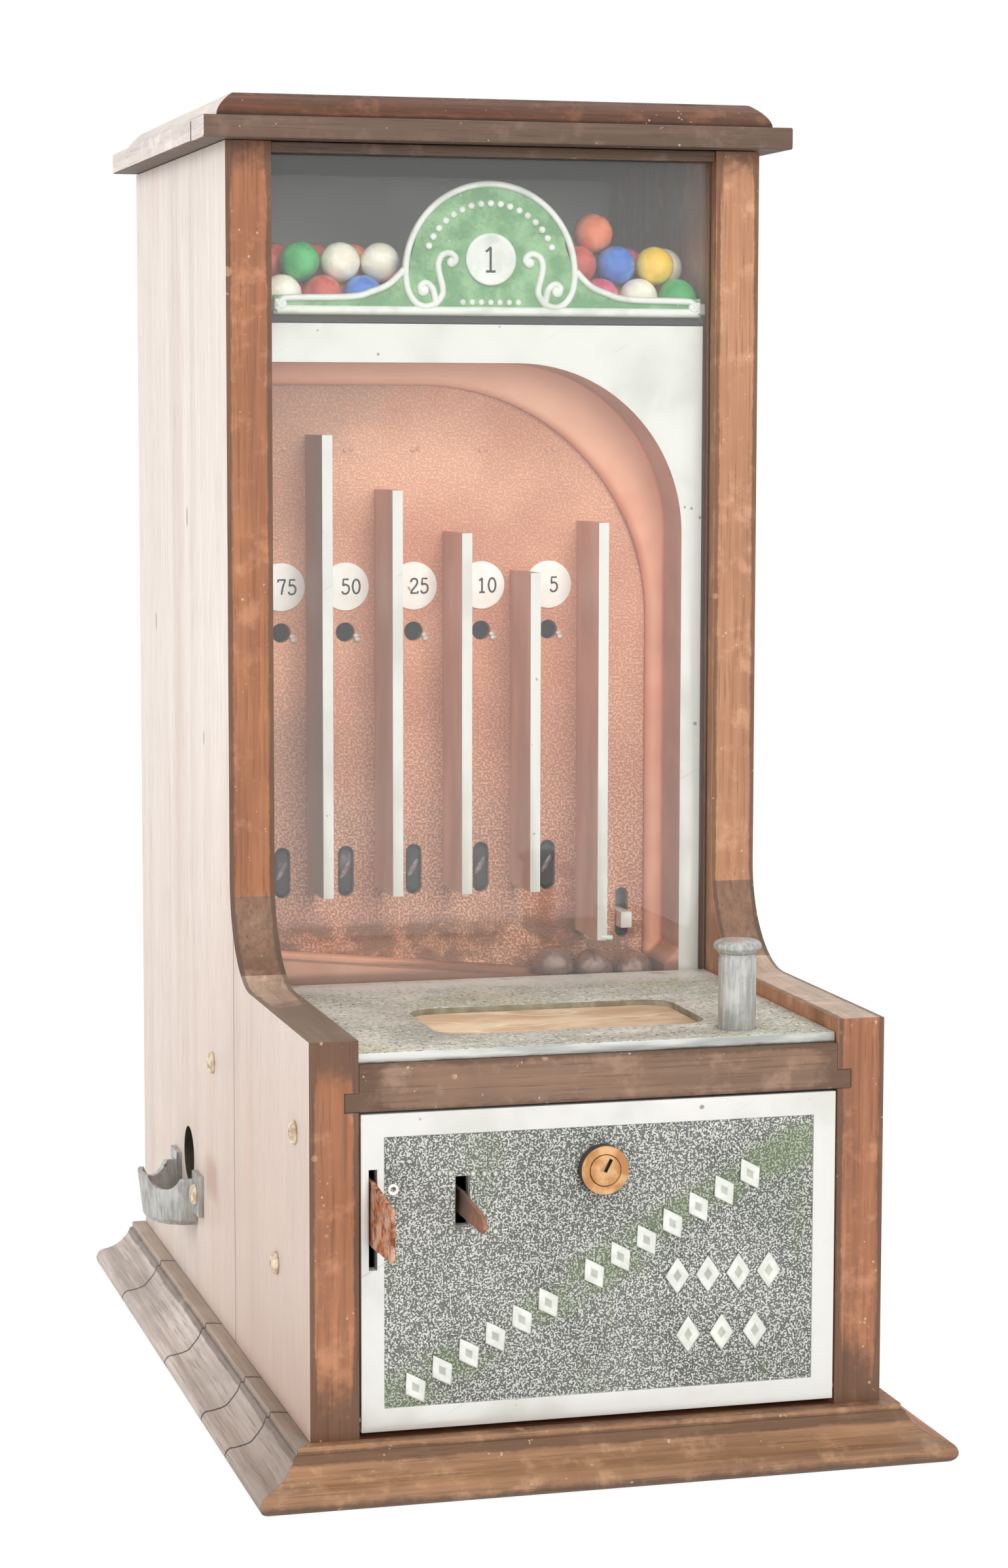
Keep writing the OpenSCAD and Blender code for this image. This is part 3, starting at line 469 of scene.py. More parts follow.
@material(Metallic=0.35)
def door_texture(skin):
    """Cast worm pattern: bright tops, dark hollows, green stain along the ornament."""
    worm = skin.use(worm_lines, Vector=skin.where)["Mask"]
    broad = skin.cloud(26, 0.36, 0.66)
    hollow = broad.mix((106, 108, 104), (120, 122, 116))
    skin.base(worm, hollow, broad.mix((196, 197, 191), (210, 210, 204)))
    rise = (skin.z - 0.0767) * 0.8707
    line = rise - (skin.x + 0.0061) * 0.4918
    stain = abs(line).span(0.0125, 0.004) * skin.cloud(55, 0.36, 0.6)
    drips = skin.cloud(1, 0.58, 0.72, 2, stretch=(60, 60, 9)) * 0.45
    skin.over(skin.most(stain, drips), 0.55, (120, 138, 96))
    skin.finish((worm, 0.62, 0.36), worm, 0.00025)


@material(Metallic=0.5)
def door_back(skin):
    """Plain cast metal between the pattern and on the door's rear."""
    lumps = skin.lumps(300)
    skin.base(skin.cloud(30, 0.4, 0.68, 4), (150, 150, 144), (108, 108, 102))
    skin.finish((lumps, 0.44, 0.6), lumps, 0.0002)


@material(Metallic=0.12)
def copper_paint(skin):
    """Wall painted darker as shade, bright rolled step with a painted highlight at its top, and a pebbled field
    aged at the upper left and red at the lane's foot.
    """
    x, y, z = skin.x, skin.y, skin.z
    grain = skin.lumps(1000)
    # Painted highlight: the rolled step lighter than the wall, and lighter still towards its top
    roll = skin.cloud(60, 0.3, 0.72).mix((244, 168, 135), (255, 186, 154))
    roll = z.span(0.36, 0.42, 0, 0.7).mix(roll, (255, 196, 164))
    # Painted shade: the wall darker than the step and the field
    wall = skin.cloud(40, 0.3, 0.72).mix((184, 130, 108), (204, 150, 126))
    skin.base(y.span(STEP_Y - 0.0045, STEP_Y - 0.001), wall, roll)
    # Painted shade: a dark line in the crease where the step meets the field
    crease_shade = y.span(FIELD_Y - 0.0024, FIELD_Y - 0.0014) * y.span(FIELD_Y - 0.0002, FIELD_Y - 0.0008)
    skin.over(crease_shade, 0.6, (126, 86, 69))
    # Painted shadow on the front below the trough's lip, above the striker plate
    shadow_below = z.span(0.1725, 0.169) * x.span(0.088, 0.084)
    skin.over(shadow_below, 0.85, (128, 82, 62))
    sides = skin.colour
    skin.base(skin.cloud(15, 0.34, 0.62, 4, shift=(0.02, 0, 0)), (232, 161, 129), (255, 190, 157))
    upper = z.span(0.345, 0.425) * x.span(0.045, -0.08) * 0.62
    lower = z.span(0.34, 0.22, 0, 0.36) * x.span(0.09, -0.03)
    age = upper + lower + x.span(-0.055, -0.095, 0, 0.3) + 0.14
    skin.over(skin.dirt(age, stretch=(0.6, 0.6, 0.6)), 0.62, (208, 167, 145))
    lane_foot = abs(x - 0.04).span(0.012, 0.006) * abs(z - 0.192).span(0.024, 0.014)
    skin.over(lane_foot * skin.cloud(70, 0.36, 0.56), 0.7, (184, 96, 62))
    low = z.span(0.193, 0.183) * skin.cloud(110, 0.36, 0.58, 4, 0.65)
    skin.over(low, 0.75, (118, 80, 62))
    skin.over(1 - grain, z.span(0.34, 0.19, 0.26, 0.72), (146, 102, 84))
    dots = skin.over(skin.specks(150, 0.26), 0.6, (100, 78, 68))
    on_field = y.span(FIELD_Y - 0.001, FIELD_Y - 0.0003)
    skin.base(on_field, sides, skin.colour)
    height = grain * (on_field * 0.9 + 0.1) + dots * -0.4
    skin.finish((grain, 0.58, 0.44), height, 0.00026)


@material()
def rib_shade(skin):
    """Sides of the ribs: copper painted duller and darker as shade, greyest on the first rib."""
    cloud = skin.base(skin.cloud(45, 0.36, 0.66, 4, stretch=(1, 1, 0.4)), (202, 148, 123), (226, 171, 145))
    skin.over(skin.x.span(-0.052, -0.066), 0.8, (156, 136, 126))
    skin.over(skin.y.span(FIELD_Y - 0.006, FIELD_Y - 0.001), 0.55, (206, 148, 122))
    skin.over(skin.specks(210, 0.28), 0.5, (204, 186, 172))
    skin.finish((cloud, 0.5, 0.62), cloud, 0.00015)


def clouded(name, cloud, at_0, at_1, rough, share=1, marks=None, deep=0.0001, stretch=(1, 1, 1), **plain):
    """Clouded between two colours. Marks, (scale, amount, share, colour), take the cloud's place as bumps."""
    @material(name, **plain)
    def made(skin):
        mask = height = skin.base(skin.cloud(*cloud, stretch=stretch), at_0, at_1, share)
        if marks:
            height = skin.over(skin.specks(*marks[:2]), *marks[2:])
        skin.finish((mask, *rough), height if deep else None, deep)
    return made


# Dots on the field, comb blades, painted shade on the walls of the lock and of the cup's hole, and on the walls
# of the card's recess
light_copper = clouded("light_copper", (500, 0.38, 0.64), (206, 152, 128), (230, 178, 152), (0.56, 0.44))
dark_steel = clouded("dark_steel", (1, 0.54, 0.68), (58, 59, 60), (128, 122, 118), (0.62, 0.4),
                     stretch=(90, 90, 60), Metallic=0.4)
shadow_metal = clouded("shadow_metal", (90, 0.36, 0.7), (58, 49, 39), (86, 72, 54), (0.55, 0.7))
# Painted shade: the walls of the card's recess, darker than the plate's own metal
recess_wall = clouded("recess_wall", (120, 0.36, 0.7), (112, 103, 84), (150, 142, 122), (0.5, 0.66))
# Chipped cream enamel, numbers, raised edges rubbed back to metal, steel balls tinted copper as painted
# reflection of their trough
score_enamel = clouded("score_enamel", (160, 0.42, 0.68), (255, 253, 248), (245, 240, 229), (0.28, 0.42), 0.5,
                       (420, 0.22, 0.7, (120, 110, 98)), -0.0001, Coat_Weight=0.2)
number_black = clouded("number_black", (900, 0.56, 0.7, 2), (34, 32, 30), (120, 114, 106), (0.45, 0.6), 0.35,
                       deep=0)
raised_white = clouded("raised_white", (140, 0.44, 0.7), (236, 235, 228), (204, 204, 192), (0.32, 0.5), 0.45,
                       (380, 0.28, 0.6, (112, 112, 96)), -0.0001, Metallic=0.25)
# Painted reflection: the steel balls' colour is tinted copper by the copper around them
ball_metal = clouded("ball_metal", (260, 0.42, 0.66), (176, 148, 136), (142, 112, 100), (0.26, 0.4), 0.4,
                     (520, 0.25, 0.6, (92, 70, 62)), -0.00006, Metallic=0.7)


@material()
def marquee_green(skin):
    """Green ground, mottled, with pale rubbed grains."""
    cloud = skin.base(skin.cloud(90, 0.38, 0.64, 4, 0.65), (104, 148, 102), (142, 180, 134))
    skin.over(skin.specks(650, 0.55), 0.6, (196, 212, 182))
    skin.finish((cloud, 0.44, 0.58), skin.lumps(520), 0.00018)


@material(Metallic=0.35)
def pitted_plate(skin):
    """Top casting: greenish grey, pitted, lighter at the back, stained towards its corners."""
    tone = skin.base(skin.cloud(34, 0.36, 0.66, 4, 0.62), (184, 183, 170), (219, 217, 205))
    skin.over(skin.cloud(26, 0.52, 0.7, shift=(1.3, 0.4, 0)), 0.4, (188, 182, 140))
    pits = skin.over(skin.cloud(560, 0.56, 0.64, 3, 0.6), 0.8, (100, 101, 93))
    skin.over(skin.cloud(600, 0.56, 0.63, 3, 0.6, shift=(0.5, 0.2, 0)), 0.8, (238, 237, 228))
    back = skin.y.span(PLATE_BACK - 0.034, PLATE_BACK - 0.01) * skin.cloud(90, 0.26, 0.46)
    skin.over(back, 0.85, (242, 238, 229))
    dirty = skin.over(skin.dirt(abs(skin.x).span(0.078, 0.096, 0.1, 0.42)), 0.55, (104, 104, 92))
    height = tone * 0.5 - (pits + dirty * 0.3)
    skin.finish((tone, 0.56, 0.4), height, 0.0003)


@material(Metallic=0.5)
def worn_lip(skin):
    """Front lip of the top casting, rubbed bright by hands, nicked along its edge."""
    rub = skin.base(skin.cloud(1, 0.38, 0.66, stretch=(22, 160, 160)), (168, 170, 166), (218, 219, 214))
    low = skin.z.span(0.1652, 0.1632, 0.08, 0.6)
    nicks = skin.over(skin.dirt(low, stretch=(0.6, 1, 1)), 0.75, (86, 84, 78))
    skin.finish((rub, 0.46, 0.3), rub - nicks, 0.0002)


@material(Metallic=0.6)
def pewter(skin):
    """Handled aluminium: faint upright streaks, pale patches, dull patches and specks."""
    streak = skin.base(skin.cloud(1, 0.34, 0.68, stretch=(700, 700, 60)), (160, 159, 156), (194, 193, 189))
    patch = skin.over(skin.cloud(75, 0.44, 0.68, 4), 0.5, (212, 211, 207))
    skin.over(skin.cloud(120, 0.54, 0.7, 4, 0.6, shift=(0.2, 0.5, 0)), 0.45, (142, 140, 136))
    dots = skin.over(skin.specks(330, 0.34), 0.7, (92, 92, 90))
    skin.finish((patch, 0.46, 0.28), streak * 0.3 - dots, 0.0001)


@material()
def plain_steel(skin):
    """Sheet and bar steel inside: rolled lines, dull bloom and a little rust."""
    lines = skin.cloud(1, 0.4, 0.62, 2, stretch=(30, 700, 700))
    eaten = skin.rusted(lines.mix((134, 136, 138), (172, 174, 176)), 0.42)
    skin.give(skin.surface["Metallic"], eaten.span(0, 1, 0.85, 0.05))
    skin.finish((eaten, 0.34, 0.78), lines, 0.00008)


@material(Metallic=0.15)
def rusty_sheet(skin):
    """Tabs: rusty sheet steel with some metal left."""
    eaten = skin.rusted((194, 158, 136), 0.54)
    skin.over(skin.cloud(190, 0.5, 0.68, 4), 0.55, (122, 80, 60))
    skin.finish((eaten, 0.44, 0.8), skin.noise(skin.where, 700, 3), 0.00022)


@material(Metallic=0.15)
def dark_sheet(skin):
    """Second tab: browned steel, rusted towards its outer end."""
    eaten = skin.rusted((104, 84, 76), 0.38)
    worn = skin.cloud(260, 0.36, 0.62).mix((136, 92, 72), (168, 116, 88))
    skin.over(skin.y.span(FRONT - 0.008, FRONT - 0.016), 0.75, worn)
    skin.finish((eaten, 0.46, 0.78), skin.noise(skin.where, 700, 3), 0.0002)


@material(Metallic=0.25)
def door_raised(skin):
    """Raised cast ornament on the door: rubbed tops, green-grey in the hollows."""
    rub = skin.cloud(180, 0.4, 0.68)
    hollow = rub.mix((112, 118, 100), (140, 146, 124))
    top = skin.y.span(FRONT + 0.0006, FRONT + 0.0001)
    skin.base(top, hollow, rub.mix((206, 208, 200), (222, 223, 217)))
    dots = skin.over(skin.specks(420, 0.34), 0.5, (120, 124, 108))
    skin.finish((rub, 0.34, 0.48), dots, -0.0001)


@material(Metallic=0.65)
def worn_brass(skin):
    """Warm brass, browned in patches, bright where it is touched."""
    tone = skin.base(skin.cloud(150, 0.38, 0.66, 4), (186, 133, 86), (222, 177, 126))
    skin.over(skin.dirt(0.24), 0.5, (140, 92, 50))
    lines = skin.over(skin.cuts(0.7), 0.5, (240, 208, 164))
    skin.finish((tone, 0.42, 0.26), lines, -0.00008)


@material(Metallic=0.4)
def old_screw(skin):
    """Screw heads: pale brassy metal with dirt."""
    tone = skin.base(skin.cloud(320, 0.38, 0.66), (204, 180, 150), (242, 228, 204))
    skin.over(skin.dirt(0.34, stretch=(3, 3, 3)), 0.7, (122, 88, 62))
    skin.finish((tone, 0.48, 0.34), tone, 0.0001)


@material()
def tan_card(skin):
    """Old card: tan, foxed, with pale creases."""
    skin.base(skin.cloud(36, 0.36, 0.66, 4, stretch=(1, 1.6, 1)), (195, 162, 130), (218, 193, 163))
    folds = skin.noise(skin.moved(skin.where, (10, 34, 10)), 1, 2)
    crease = skin.over(abs(folds - 0.5).span(0.014, 0.002), 0.55, (238, 220, 188))
    skin.over(skin.specks(170, 0.42), 0.5, (168, 122, 80))
    fibre = skin.noise(skin.where, 1900, 2)
    height = crease * 0.7 + fibre * 0.3
    skin.finish(fibre.span(0.3, 0.7, 0.72, 0.88), height, 0.0002)


@material()
def hopper_paint(skin):
    """Dull grey paint with dust, lighter as painted reflection of the pane, nearly black as painted shadow on
    the lip under the marquee.
    """
    # Painted reflection: the grey is much lighter than the paint's own dark grey, for the pane's reflection over
    # it
    cloud = skin.base(skin.cloud(20, 0.38, 0.66, 4), (173, 171, 168), (193, 191, 187))
    skin.over(skin.specks(240, 0.3), 0.4, (176, 174, 168))
    # Painted shadow: nearly black on the lip, in the gap under the marquee
    skin.over(skin.y.span(RIM_Y + 0.012, RIM_Y + 0.009), skin.z.span(0.4485, 0.4475), (62, 60, 58))
    skin.finish((cloud, 0.6, 0.74), cloud, 0.0002)


def sugar_shell(name, light, dark):
    """Gumball coating: faint mottling and pin marks under a soft polish."""
    @material(name, Coat_Weight=0.5, Coat_Roughness=0.1)
    def made(skin):
        cloud = skin.base(skin.cloud(130, 0.36, 0.66), dark, light)
        pins = skin.over(skin.specks(420, 0.26), 0.35, (244, 238, 226))
        skin.finish((cloud, 0.2, 0.34), cloud + pins * -0.6, 0.00012)
    return made


CLEAR = (250, 252, 251)


@material(Transmission_Weight=0.97, IOR=1.46)
def front_pane(skin):
    """Pane: faintly smeared, with a thin veil of dust. Shadow rays pass straight through it."""
    skin.base(skin.specks(300, 0.16), CLEAR, (214, 214, 210), 0.5)
    skin.finish((skin.cloud(1, 0.46, 0.72, 4, stretch=(9, 9, 5)), 0, 0.05))
    shadow = skin.made("LightPath", output="Is Shadow Ray")
    skin.mixed_in(shadow, skin.made("BsdfTransparent", {"Color": CLEAR}))


GUM = {
    "red": ((212, 96, 80), (188, 72, 60)), "green": ((82, 186, 110), (56, 158, 86)),
    "white": ((255, 249, 236), (240, 229, 208)), "orange": ((255, 152, 112), (240, 126, 84)),
    "pink": ((224, 100, 132), (202, 74, 108)), "blue": ((86, 138, 222), (62, 110, 198)),
    "yellow": ((255, 220, 92), (248, 198, 58)),
}


# Pieces

def piece(obj, body, slot, *nodes):
    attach(obj, body)
    if nodes:
        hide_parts(*nodes)
    return obj


def stands_for(node, obj):
    return piece(obj, body_of[node], slot_of[node], node)


def placed(name, mesh, *paints):
    for paint in paints:
        mesh.materials.append(paint)
    obj = bpy.data.objects.new(name, mesh)
    scene.collection.objects.link(obj)
    return obj


def meshed(name, shape):
    mesh = bpy.data.meshes.new(name)
    shape.to_mesh(mesh)
    shape.free()
    return mesh


def welded(node):
    """Copy of a CAD node's triangles, joined at their corners."""
    shape = bmesh.new()
    shape.from_mesh(frame["nodes"][node].data)
    bmesh.ops.remove_doubles(shape, verts=shape.verts, dist=1e-6)
    return shape


def dressed(node, paints, edge=0.6, steps=2, choose=None, prepare=None, smooth=True):
    """Stands for a CAD node: same shape, edges rounded by edge mm, each face with the paint chosen for it."""
    shape = welded(node)
    bmesh.ops.dissolve_limit(shape, angle_limit=math.radians(0.4), verts=shape.verts, edges=shape.edges)
    if prepare:
        prepare(shape)
    for face in shape.faces:
        face.smooth = smooth
        face.material_index = choose(face.normal, face.calc_center_median()) if choose else 0
    obj = placed(node + "_finish", meshed(node + "_finish", shape), *paints)
    rounding = obj.modifiers.new("rounded_edges", "BEVEL")
    rounding.width = edge * MM
    rounding.segments = steps
    rounding.limit_method = "ANGLE"
    rounding.angle_limit = math.radians(34)
    rounding.harden_normals = smooth
    rounding.use_clamp_overlap = True
    return stands_for(node, obj)


def islands(node):
    """Centre and size of each separate solid in a CAD node."""
    shape = welded(node)
    left = set(shape.verts)
    found = []
    while left:
        front = [left.pop()]
        part = list(front)
        while front:
            near = {e.other_vert(v) for v in front for e in v.link_edges} & left
            left -= near
            part += near
            front = list(near)
        low, high = [Vector([end(v.co[i] for v in part) for i in range(3)]) for end in (min, max)]
        found.append(((low + high) / 2, high - low))
    shape.free()
    return sorted(found, key=lambda one: tuple(one[0]))


def finished(shape, name, paint, smooth=True):
    """Bmesh to object, with its normals outward."""
    bmesh.ops.recalc_face_normals(shape, faces=shape.faces)
    for face in shape.faces:
        face.smooth = smooth
    return placed(name, meshed(name, shape), paint)


def skinned(shape, rings):
    """Faces between rings of points. A ring of one point closes an end."""
    for lower, upper in zip(rings, rings[1:]):
        count = max(len(lower), len(upper))
        for i in range(count):
            j = (i + 1) % count
            ring = [lower[i % len(lower)], lower[j % len(lower)], upper[j % len(upper)], upper[i % len(upper)]]
            shape.faces.new(list(dict.fromkeys(ring)))


QUARTER = math.pi / 2
FACING = {"z": Matrix(), "-y": Matrix.Rotation(QUARTER, 4, "X"), "-x": Matrix.Rotation(-QUARTER, 4, "Y")}


def turned(name, profile, paint, centre=(0, 0, 0), axis="z", steps=64):
    """Lathe work: the profile's (radius, height) points, in mm, spun about an axis through the centre."""
    shape = bmesh.new()
    rings = []
    for radius, height in profile:
        turns = [2 * math.pi * i / steps for i in range(steps if radius else 1)]
        rings.append([shape.verts.new(mm(radius * math.cos(a), radius * math.sin(a), height)) for a in turns])
    skinned(shape, rings)
    bmesh.ops.transform(shape, matrix=Matrix.Translation(centre) @ FACING[axis], verts=shape.verts)
    return finished(shape, name, paint)


def settle(obj):
    """Takes an object's modifiers into its mesh."""
    bpy.context.view_layer.update()
    made = bpy.data.meshes.new_from_object(obj.evaluated_get(bpy.context.evaluated_depsgraph_get()))
    obj.modifiers.clear()
    obj.data = made


def cut_slot(obj, box, inside):
    """Cuts a box-shaped slot, with its own paint inside: the box is a cube of size 1 with this matrix."""
    shape = bmesh.new()
    bmesh.ops.create_cube(shape, size=1.0)
    bmesh.ops.transform(shape, matrix=box, verts=shape.verts)
    cutter = finished(shape, "slot_cutter", obj.data.materials[0], smooth=False)
    cut = obj.modifiers.new("slot", "BOOLEAN")
    cut.operation = "DIFFERENCE"
    cut.object = cutter
    settle(obj)
    obj.data.materials.append(inside)
    back = box.inverted()
    for polygon in obj.data.polygons:
        if max(abs(c) for c in back @ polygon.center) < 0.501:
            polygon.material_index = 1
    bpy.data.objects.remove(cutter)


# Geometry trees

def geometry_tree(**takes):
    """Makes a geometry tree of a function. What the function gives is made real and painted."""
    def make(build):
        tree = bpy.data.node_groups.new(build.__name__, "GeometryNodeTree")
        sockets(tree, "INPUT", [("Geometry", "Geometry"), *takes.items(), ("Paint", "Material")])
        sockets(tree, "OUTPUT", [("Geometry", "Geometry")])
        grow = Tree(tree, "GeometryNode")
        given = grow.values(tree.nodes.new("NodeGroupInput").outputs)
        real = grow.made("RealizeInstances", {"Geometry": build(grow, given)})
        painted = grow.made("SetMaterial", {"Geometry": real, "Material": given["Paint"]})
        grow.give(tree.nodes.new("NodeGroupOutput").inputs["Geometry"], painted)
        return tree
    return make


def swept(grow, line, resolution, radius):
    section = grow.made("CurvePrimitiveCircle", {"Resolution": resolution, "Radius": radius})
    return grow.made("CurveToMesh", {"Curve": line, "Profile Curve": section, "Fill Caps": True})


@geometry_tree(Pattern="Object")
def set_on_points(grow, given):
    """Sets one pattern on every point, with the point's own size and turn."""
    pattern = grow.made("ObjectInfo", {"Object": given["Pattern"]}, "Geometry")
    size, turn = [grow.made("InputNamedAttribute", {"Name": label}, data_type="FLOAT_VECTOR")
                  for label in ("size", "turn")]
    turned_by = grow.made("FunctionNodeEulerToRotation", {0: turn})
    points = grow.made("MeshToPoints", {"Mesh": given["Geometry"]})
    return grow.made("InstanceOnPoints", {
        "Points": points, "Instance": pattern, "Rotation": turned_by, "Scale": size})


@geometry_tree(Radius="Float")
def swept_ridge(grow, given):
    """Half-round ridge along the lines it is given."""
    line = grow.made("MeshToCurve", {"Mesh": given["Geometry"]})
    return swept(grow, line, 10, given["Radius"])


@geometry_tree(Width="Float", Height="Float", Columns="Int", Rows="Int", Centre="Vector", Rise="Float")
def worm_field(grow, given):
    """Upright grid facing the front, raised where the worm lines run."""
    grid = grow.made("MeshGrid", {
        "Size X": given["Width"], "Size Y": given["Height"],
        "Vertices X": given["Columns"], "Vertices Y": given["Rows"]})
    upright = Euler((QUARTER, 0, 0))
    stood = grow.made("Transform", {"Geometry": grid, "Translation": given["Centre"], "Rotation": upright})
    where = grow.made("InputPosition")
    mask = grow.noise(where, WORM_SCALE, 0.0).span(WORM_LOW, WORM_HIGH)
    rise = grow.vector(0.0, mask * (given["Rise"] * -1.0), 0.0)
    return grow.made("SetPosition", {"Geometry": stood, "Offset": rise})


@geometry_tree(Turns="Float", Radius="Float", Wire="Float", Height="Float", Foot="Vector")
def coil(grow, given):
    """Coil spring standing on its foot."""
    line = grow.made("CurveSpiral", {
        "Resolution": 24, "Rotations": given["Turns"], "Height": given["Height"],
        "Start Radius": given["Radius"], "End Radius": given["Radius"]})
    wire = swept(grow, line, 8, given["Wire"])
    return grow.made("Transform", {"Geometry": wire, "Translation": given["Foot"]})


def grown(name, tree, source=None, **values):
    """Runs a geometry tree and keeps what it makes as a plain mesh."""
    host = placed(name, source or bpy.data.meshes.new(name))
    modifier = host.modifiers.new("tree", "NODES")
    modifier.node_group = tree
    for item in tree.interface.items_tree:
        if item.in_out == "INPUT" and item.name in values:
            modifier[item.identifier] = values[item.name]
    settle(host)
    for polygon in host.data.polygons:
        polygon.use_smooth = True
    return host


def spot(x, s, z, size, turn=(0, 0, 0)):
    return at(x, s, z), turn, mm(*size)


def set_out(name, pattern, places, paint):
    """Copies of a pattern at (point, turn, size) places, as one mesh. The pattern is used up."""
    mesh = bpy.data.meshes.new(name)
    mesh.from_pydata([place[0] for place in places], [], [])
    for label, index in (("turn", 1), ("size", 2)):
        layer = mesh.attributes.new(label, "FLOAT_VECTOR", "POINT")
        for mark, place in zip(layer.data, places):
            mark.vector = place[index]
    made = grown(name, set_on_points, mesh, Pattern=pattern, Paint=paint)
    bpy.data.objects.remove(pattern)
    return made


def smooth_line(points, per=8):
    """Points on a smooth curve through the given ones."""
    ends = [points[0]] + list(points) + [points[-1]]
    line = []
    for corners in zip(ends, ends[1:], ends[2:], ends[3:]):
        for t in [i / per for i in range(per)]:
            line.append([0.5 * (2 * q + (r - p) * t + (2 * p - 5 * q + 4 * r - s) * t * t
                                + (3 * q - p - 3 * r + s) * t ** 3) for p, q, r, s in zip(*corners)])
    return line + [list(points[-1])]


def ridges(name, lines, radius, paint):
    """Half-round ridges of a radius in mm along lines of points in metres."""
    mesh = bpy.data.meshes.new(name)
    verts, edges = [], []
    for line in lines:
        edges += [(len(verts) + i, len(verts) + i + 1) for i in range(len(line) - 1)]
        verts += line
    mesh.from_pydata(verts, edges, [])
    return grown(name, swept_ridge, mesh, Radius=radius * MM, Paint=paint)


def dome(name, steps=20, rings=5):
    """Pattern: a low dome of radius 1 and height 1, facing the front."""
    angles = [math.pi / 2 * i / rings for i in range(rings)]
    profile = [(0, 0)] + [(math.cos(a) / MM, math.sin(a) / MM) for a in angles] + [(0, 1 / MM)]
    return turned(name, profile, raised_white, axis="-y", steps=steps)


def lozenge(name):
    """Pattern: a diamond with a sunk centre line, 1 wide, 1 high and 1 deep, facing the front."""
    shape = bmesh.new()
    outline = [(-0.5, 0), (0, -0.5), (0.5, 0), (0, 0.5)]
    levels = ((1.0, 0.0), (0.94, -0.75), (0.78, -1.0), (0.42, -0.95), (0.30, -0.62))
    rings = [[shape.verts.new((x * scale, depth, z * scale)) for x, z in outline] for scale, depth in levels]
    skinned(shape, rings)
    shape.faces.new(rings[-1])
    shape.faces.new(rings[0][::-1])
    return finished(shape, name, raised_white, smooth=False)


# Strokes of the plain numbers, in a box one high
STROKES = {
    "0": [[(0.28 + 0.25 * math.sin(a * 0.3142), 0.5 + 0.48 * math.cos(a * 0.3142)) for a in range(21)]],
    "1": [[(0.10, 0.82), (0.22, 0.90), (0.30, 1.0)], [(0.30, 1.0), (0.30, 0.0)], [(0.10, 0.0), (0.50, 0.0)]],
    "2": [[(0.05, 0.76), (0.12, 0.93), (0.30, 1.0), (0.47, 0.92), (0.51, 0.74), (0.40, 0.50), (0.18, 0.24),
           (0.04, 0.0)], [(0.04, 0.0), (0.54, 0.0), (0.54, 0.13)]],
    "5": [[(0.48, 1.0), (0.12, 1.0), (0.09, 0.57)],
          [(0.09, 0.57), (0.27, 0.64), (0.46, 0.54), (0.52, 0.32), (0.44, 0.09), (0.25, 0.0), (0.09, 0.05),
           (0.03, 0.18)]],
    "7": [[(0.04, 0.85), (0.04, 1.0), (0.54, 1.0)], [(0.54, 1.0), (0.36, 0.52), (0.27, 0.0)]],
}


def numerals(name, labels, paint, thick):
    """Plain numbers as one mesh: each label is (text, centre point, height in mm)."""
    lines = []
    for text, centre, tall in labels:
        for i, digit in enumerate(text):
            left = (i - len(text) / 2) * 0.74 + 0.09
            for stroke in STROKES[digit]:
                line = smooth_line(stroke, 4) if len(stroke) > 4 else stroke
                lines.append([centre + Vector(mm((x + left) * tall, 0, (z - 0.5) * tall)) for x, z in line])
    return ridges(name, lines, thick, paint)


# Cabinet

def board_face(normal, centre):
    """Front, plain side, left side with painted glare, wall of the cup's hole in painted shade, right lower
    front, curved step, shoulder.
    """
    if normal.x < -0.5 and centre.x < -0.1142:
        return 2
    if abs(normal.x) < 0.3 and math.hypot(centre.y - FRONT - 0.258, centre.z - 0.078) < 0.016:
        return 3
    if abs(normal.x) > 0.5 or normal.y > 0.5 or normal.z < -0.5:
        return 1
    if normal.z > 0.2:
        return 6 if normal.z > 0.9 else 5
    return 4 if centre.x > 0 and centre.y < FRONT + 0.1 else 0


def framed_top(shape):
    """Sets off the flat top, so that the shading of the rounded edge stays at the edge."""
    flats = [f for f in shape.faces if f.normal.z > 0.99 and f.calc_area() > 0.01]
    bmesh.ops.inset_individual(shape, faces=flats, thickness=1.5 * MM, use_even_offset=True)


for side, front_wood in (("left", oak_front), ("right", oak_front_right)):
    woods = [front_wood, oak_side, bleached_oak, shadow_metal, oak_front, oak_curve, oak_top]
    dressed("side_board_" + side, woods, 1.0, 3, board_face)
for node, paint, edge in (
        ("back_panel", dark_wood, 0.8), ("bottom_board", dark_wood_across, 0.8),
        ("base_moulding_front", oak_foot, 0.5), ("base_moulding_left", cracked_oak, 0.5),
        ("base_moulding_right", oak_foot_right, 0.5),
        ("front_rail", oak_rail, 0.7), ("head_rail", head_wood, 0.6), ("plate_cleats", dark_wood_across, 0.5)):
    dressed(node, [paint], edge)
dressed("roof_slab", [slab_wood, bleached_roof], 1.2, 3, lambda n, c: 1 if n.x < -0.5 else 0)
dressed("roof_cap", [cap_wood, bleached_roof], 0.8, 2, lambda n, c: 1 if n.x < -0.35 else 0, framed_top)
dressed("front_glass", [front_pane], 0.3, 1, smooth=False)

# Playfield

TROUGH_Z = 0.1795
LANE_X = 0.0845
COLUMNS = (-82.85, -55, -25, 5, 35)


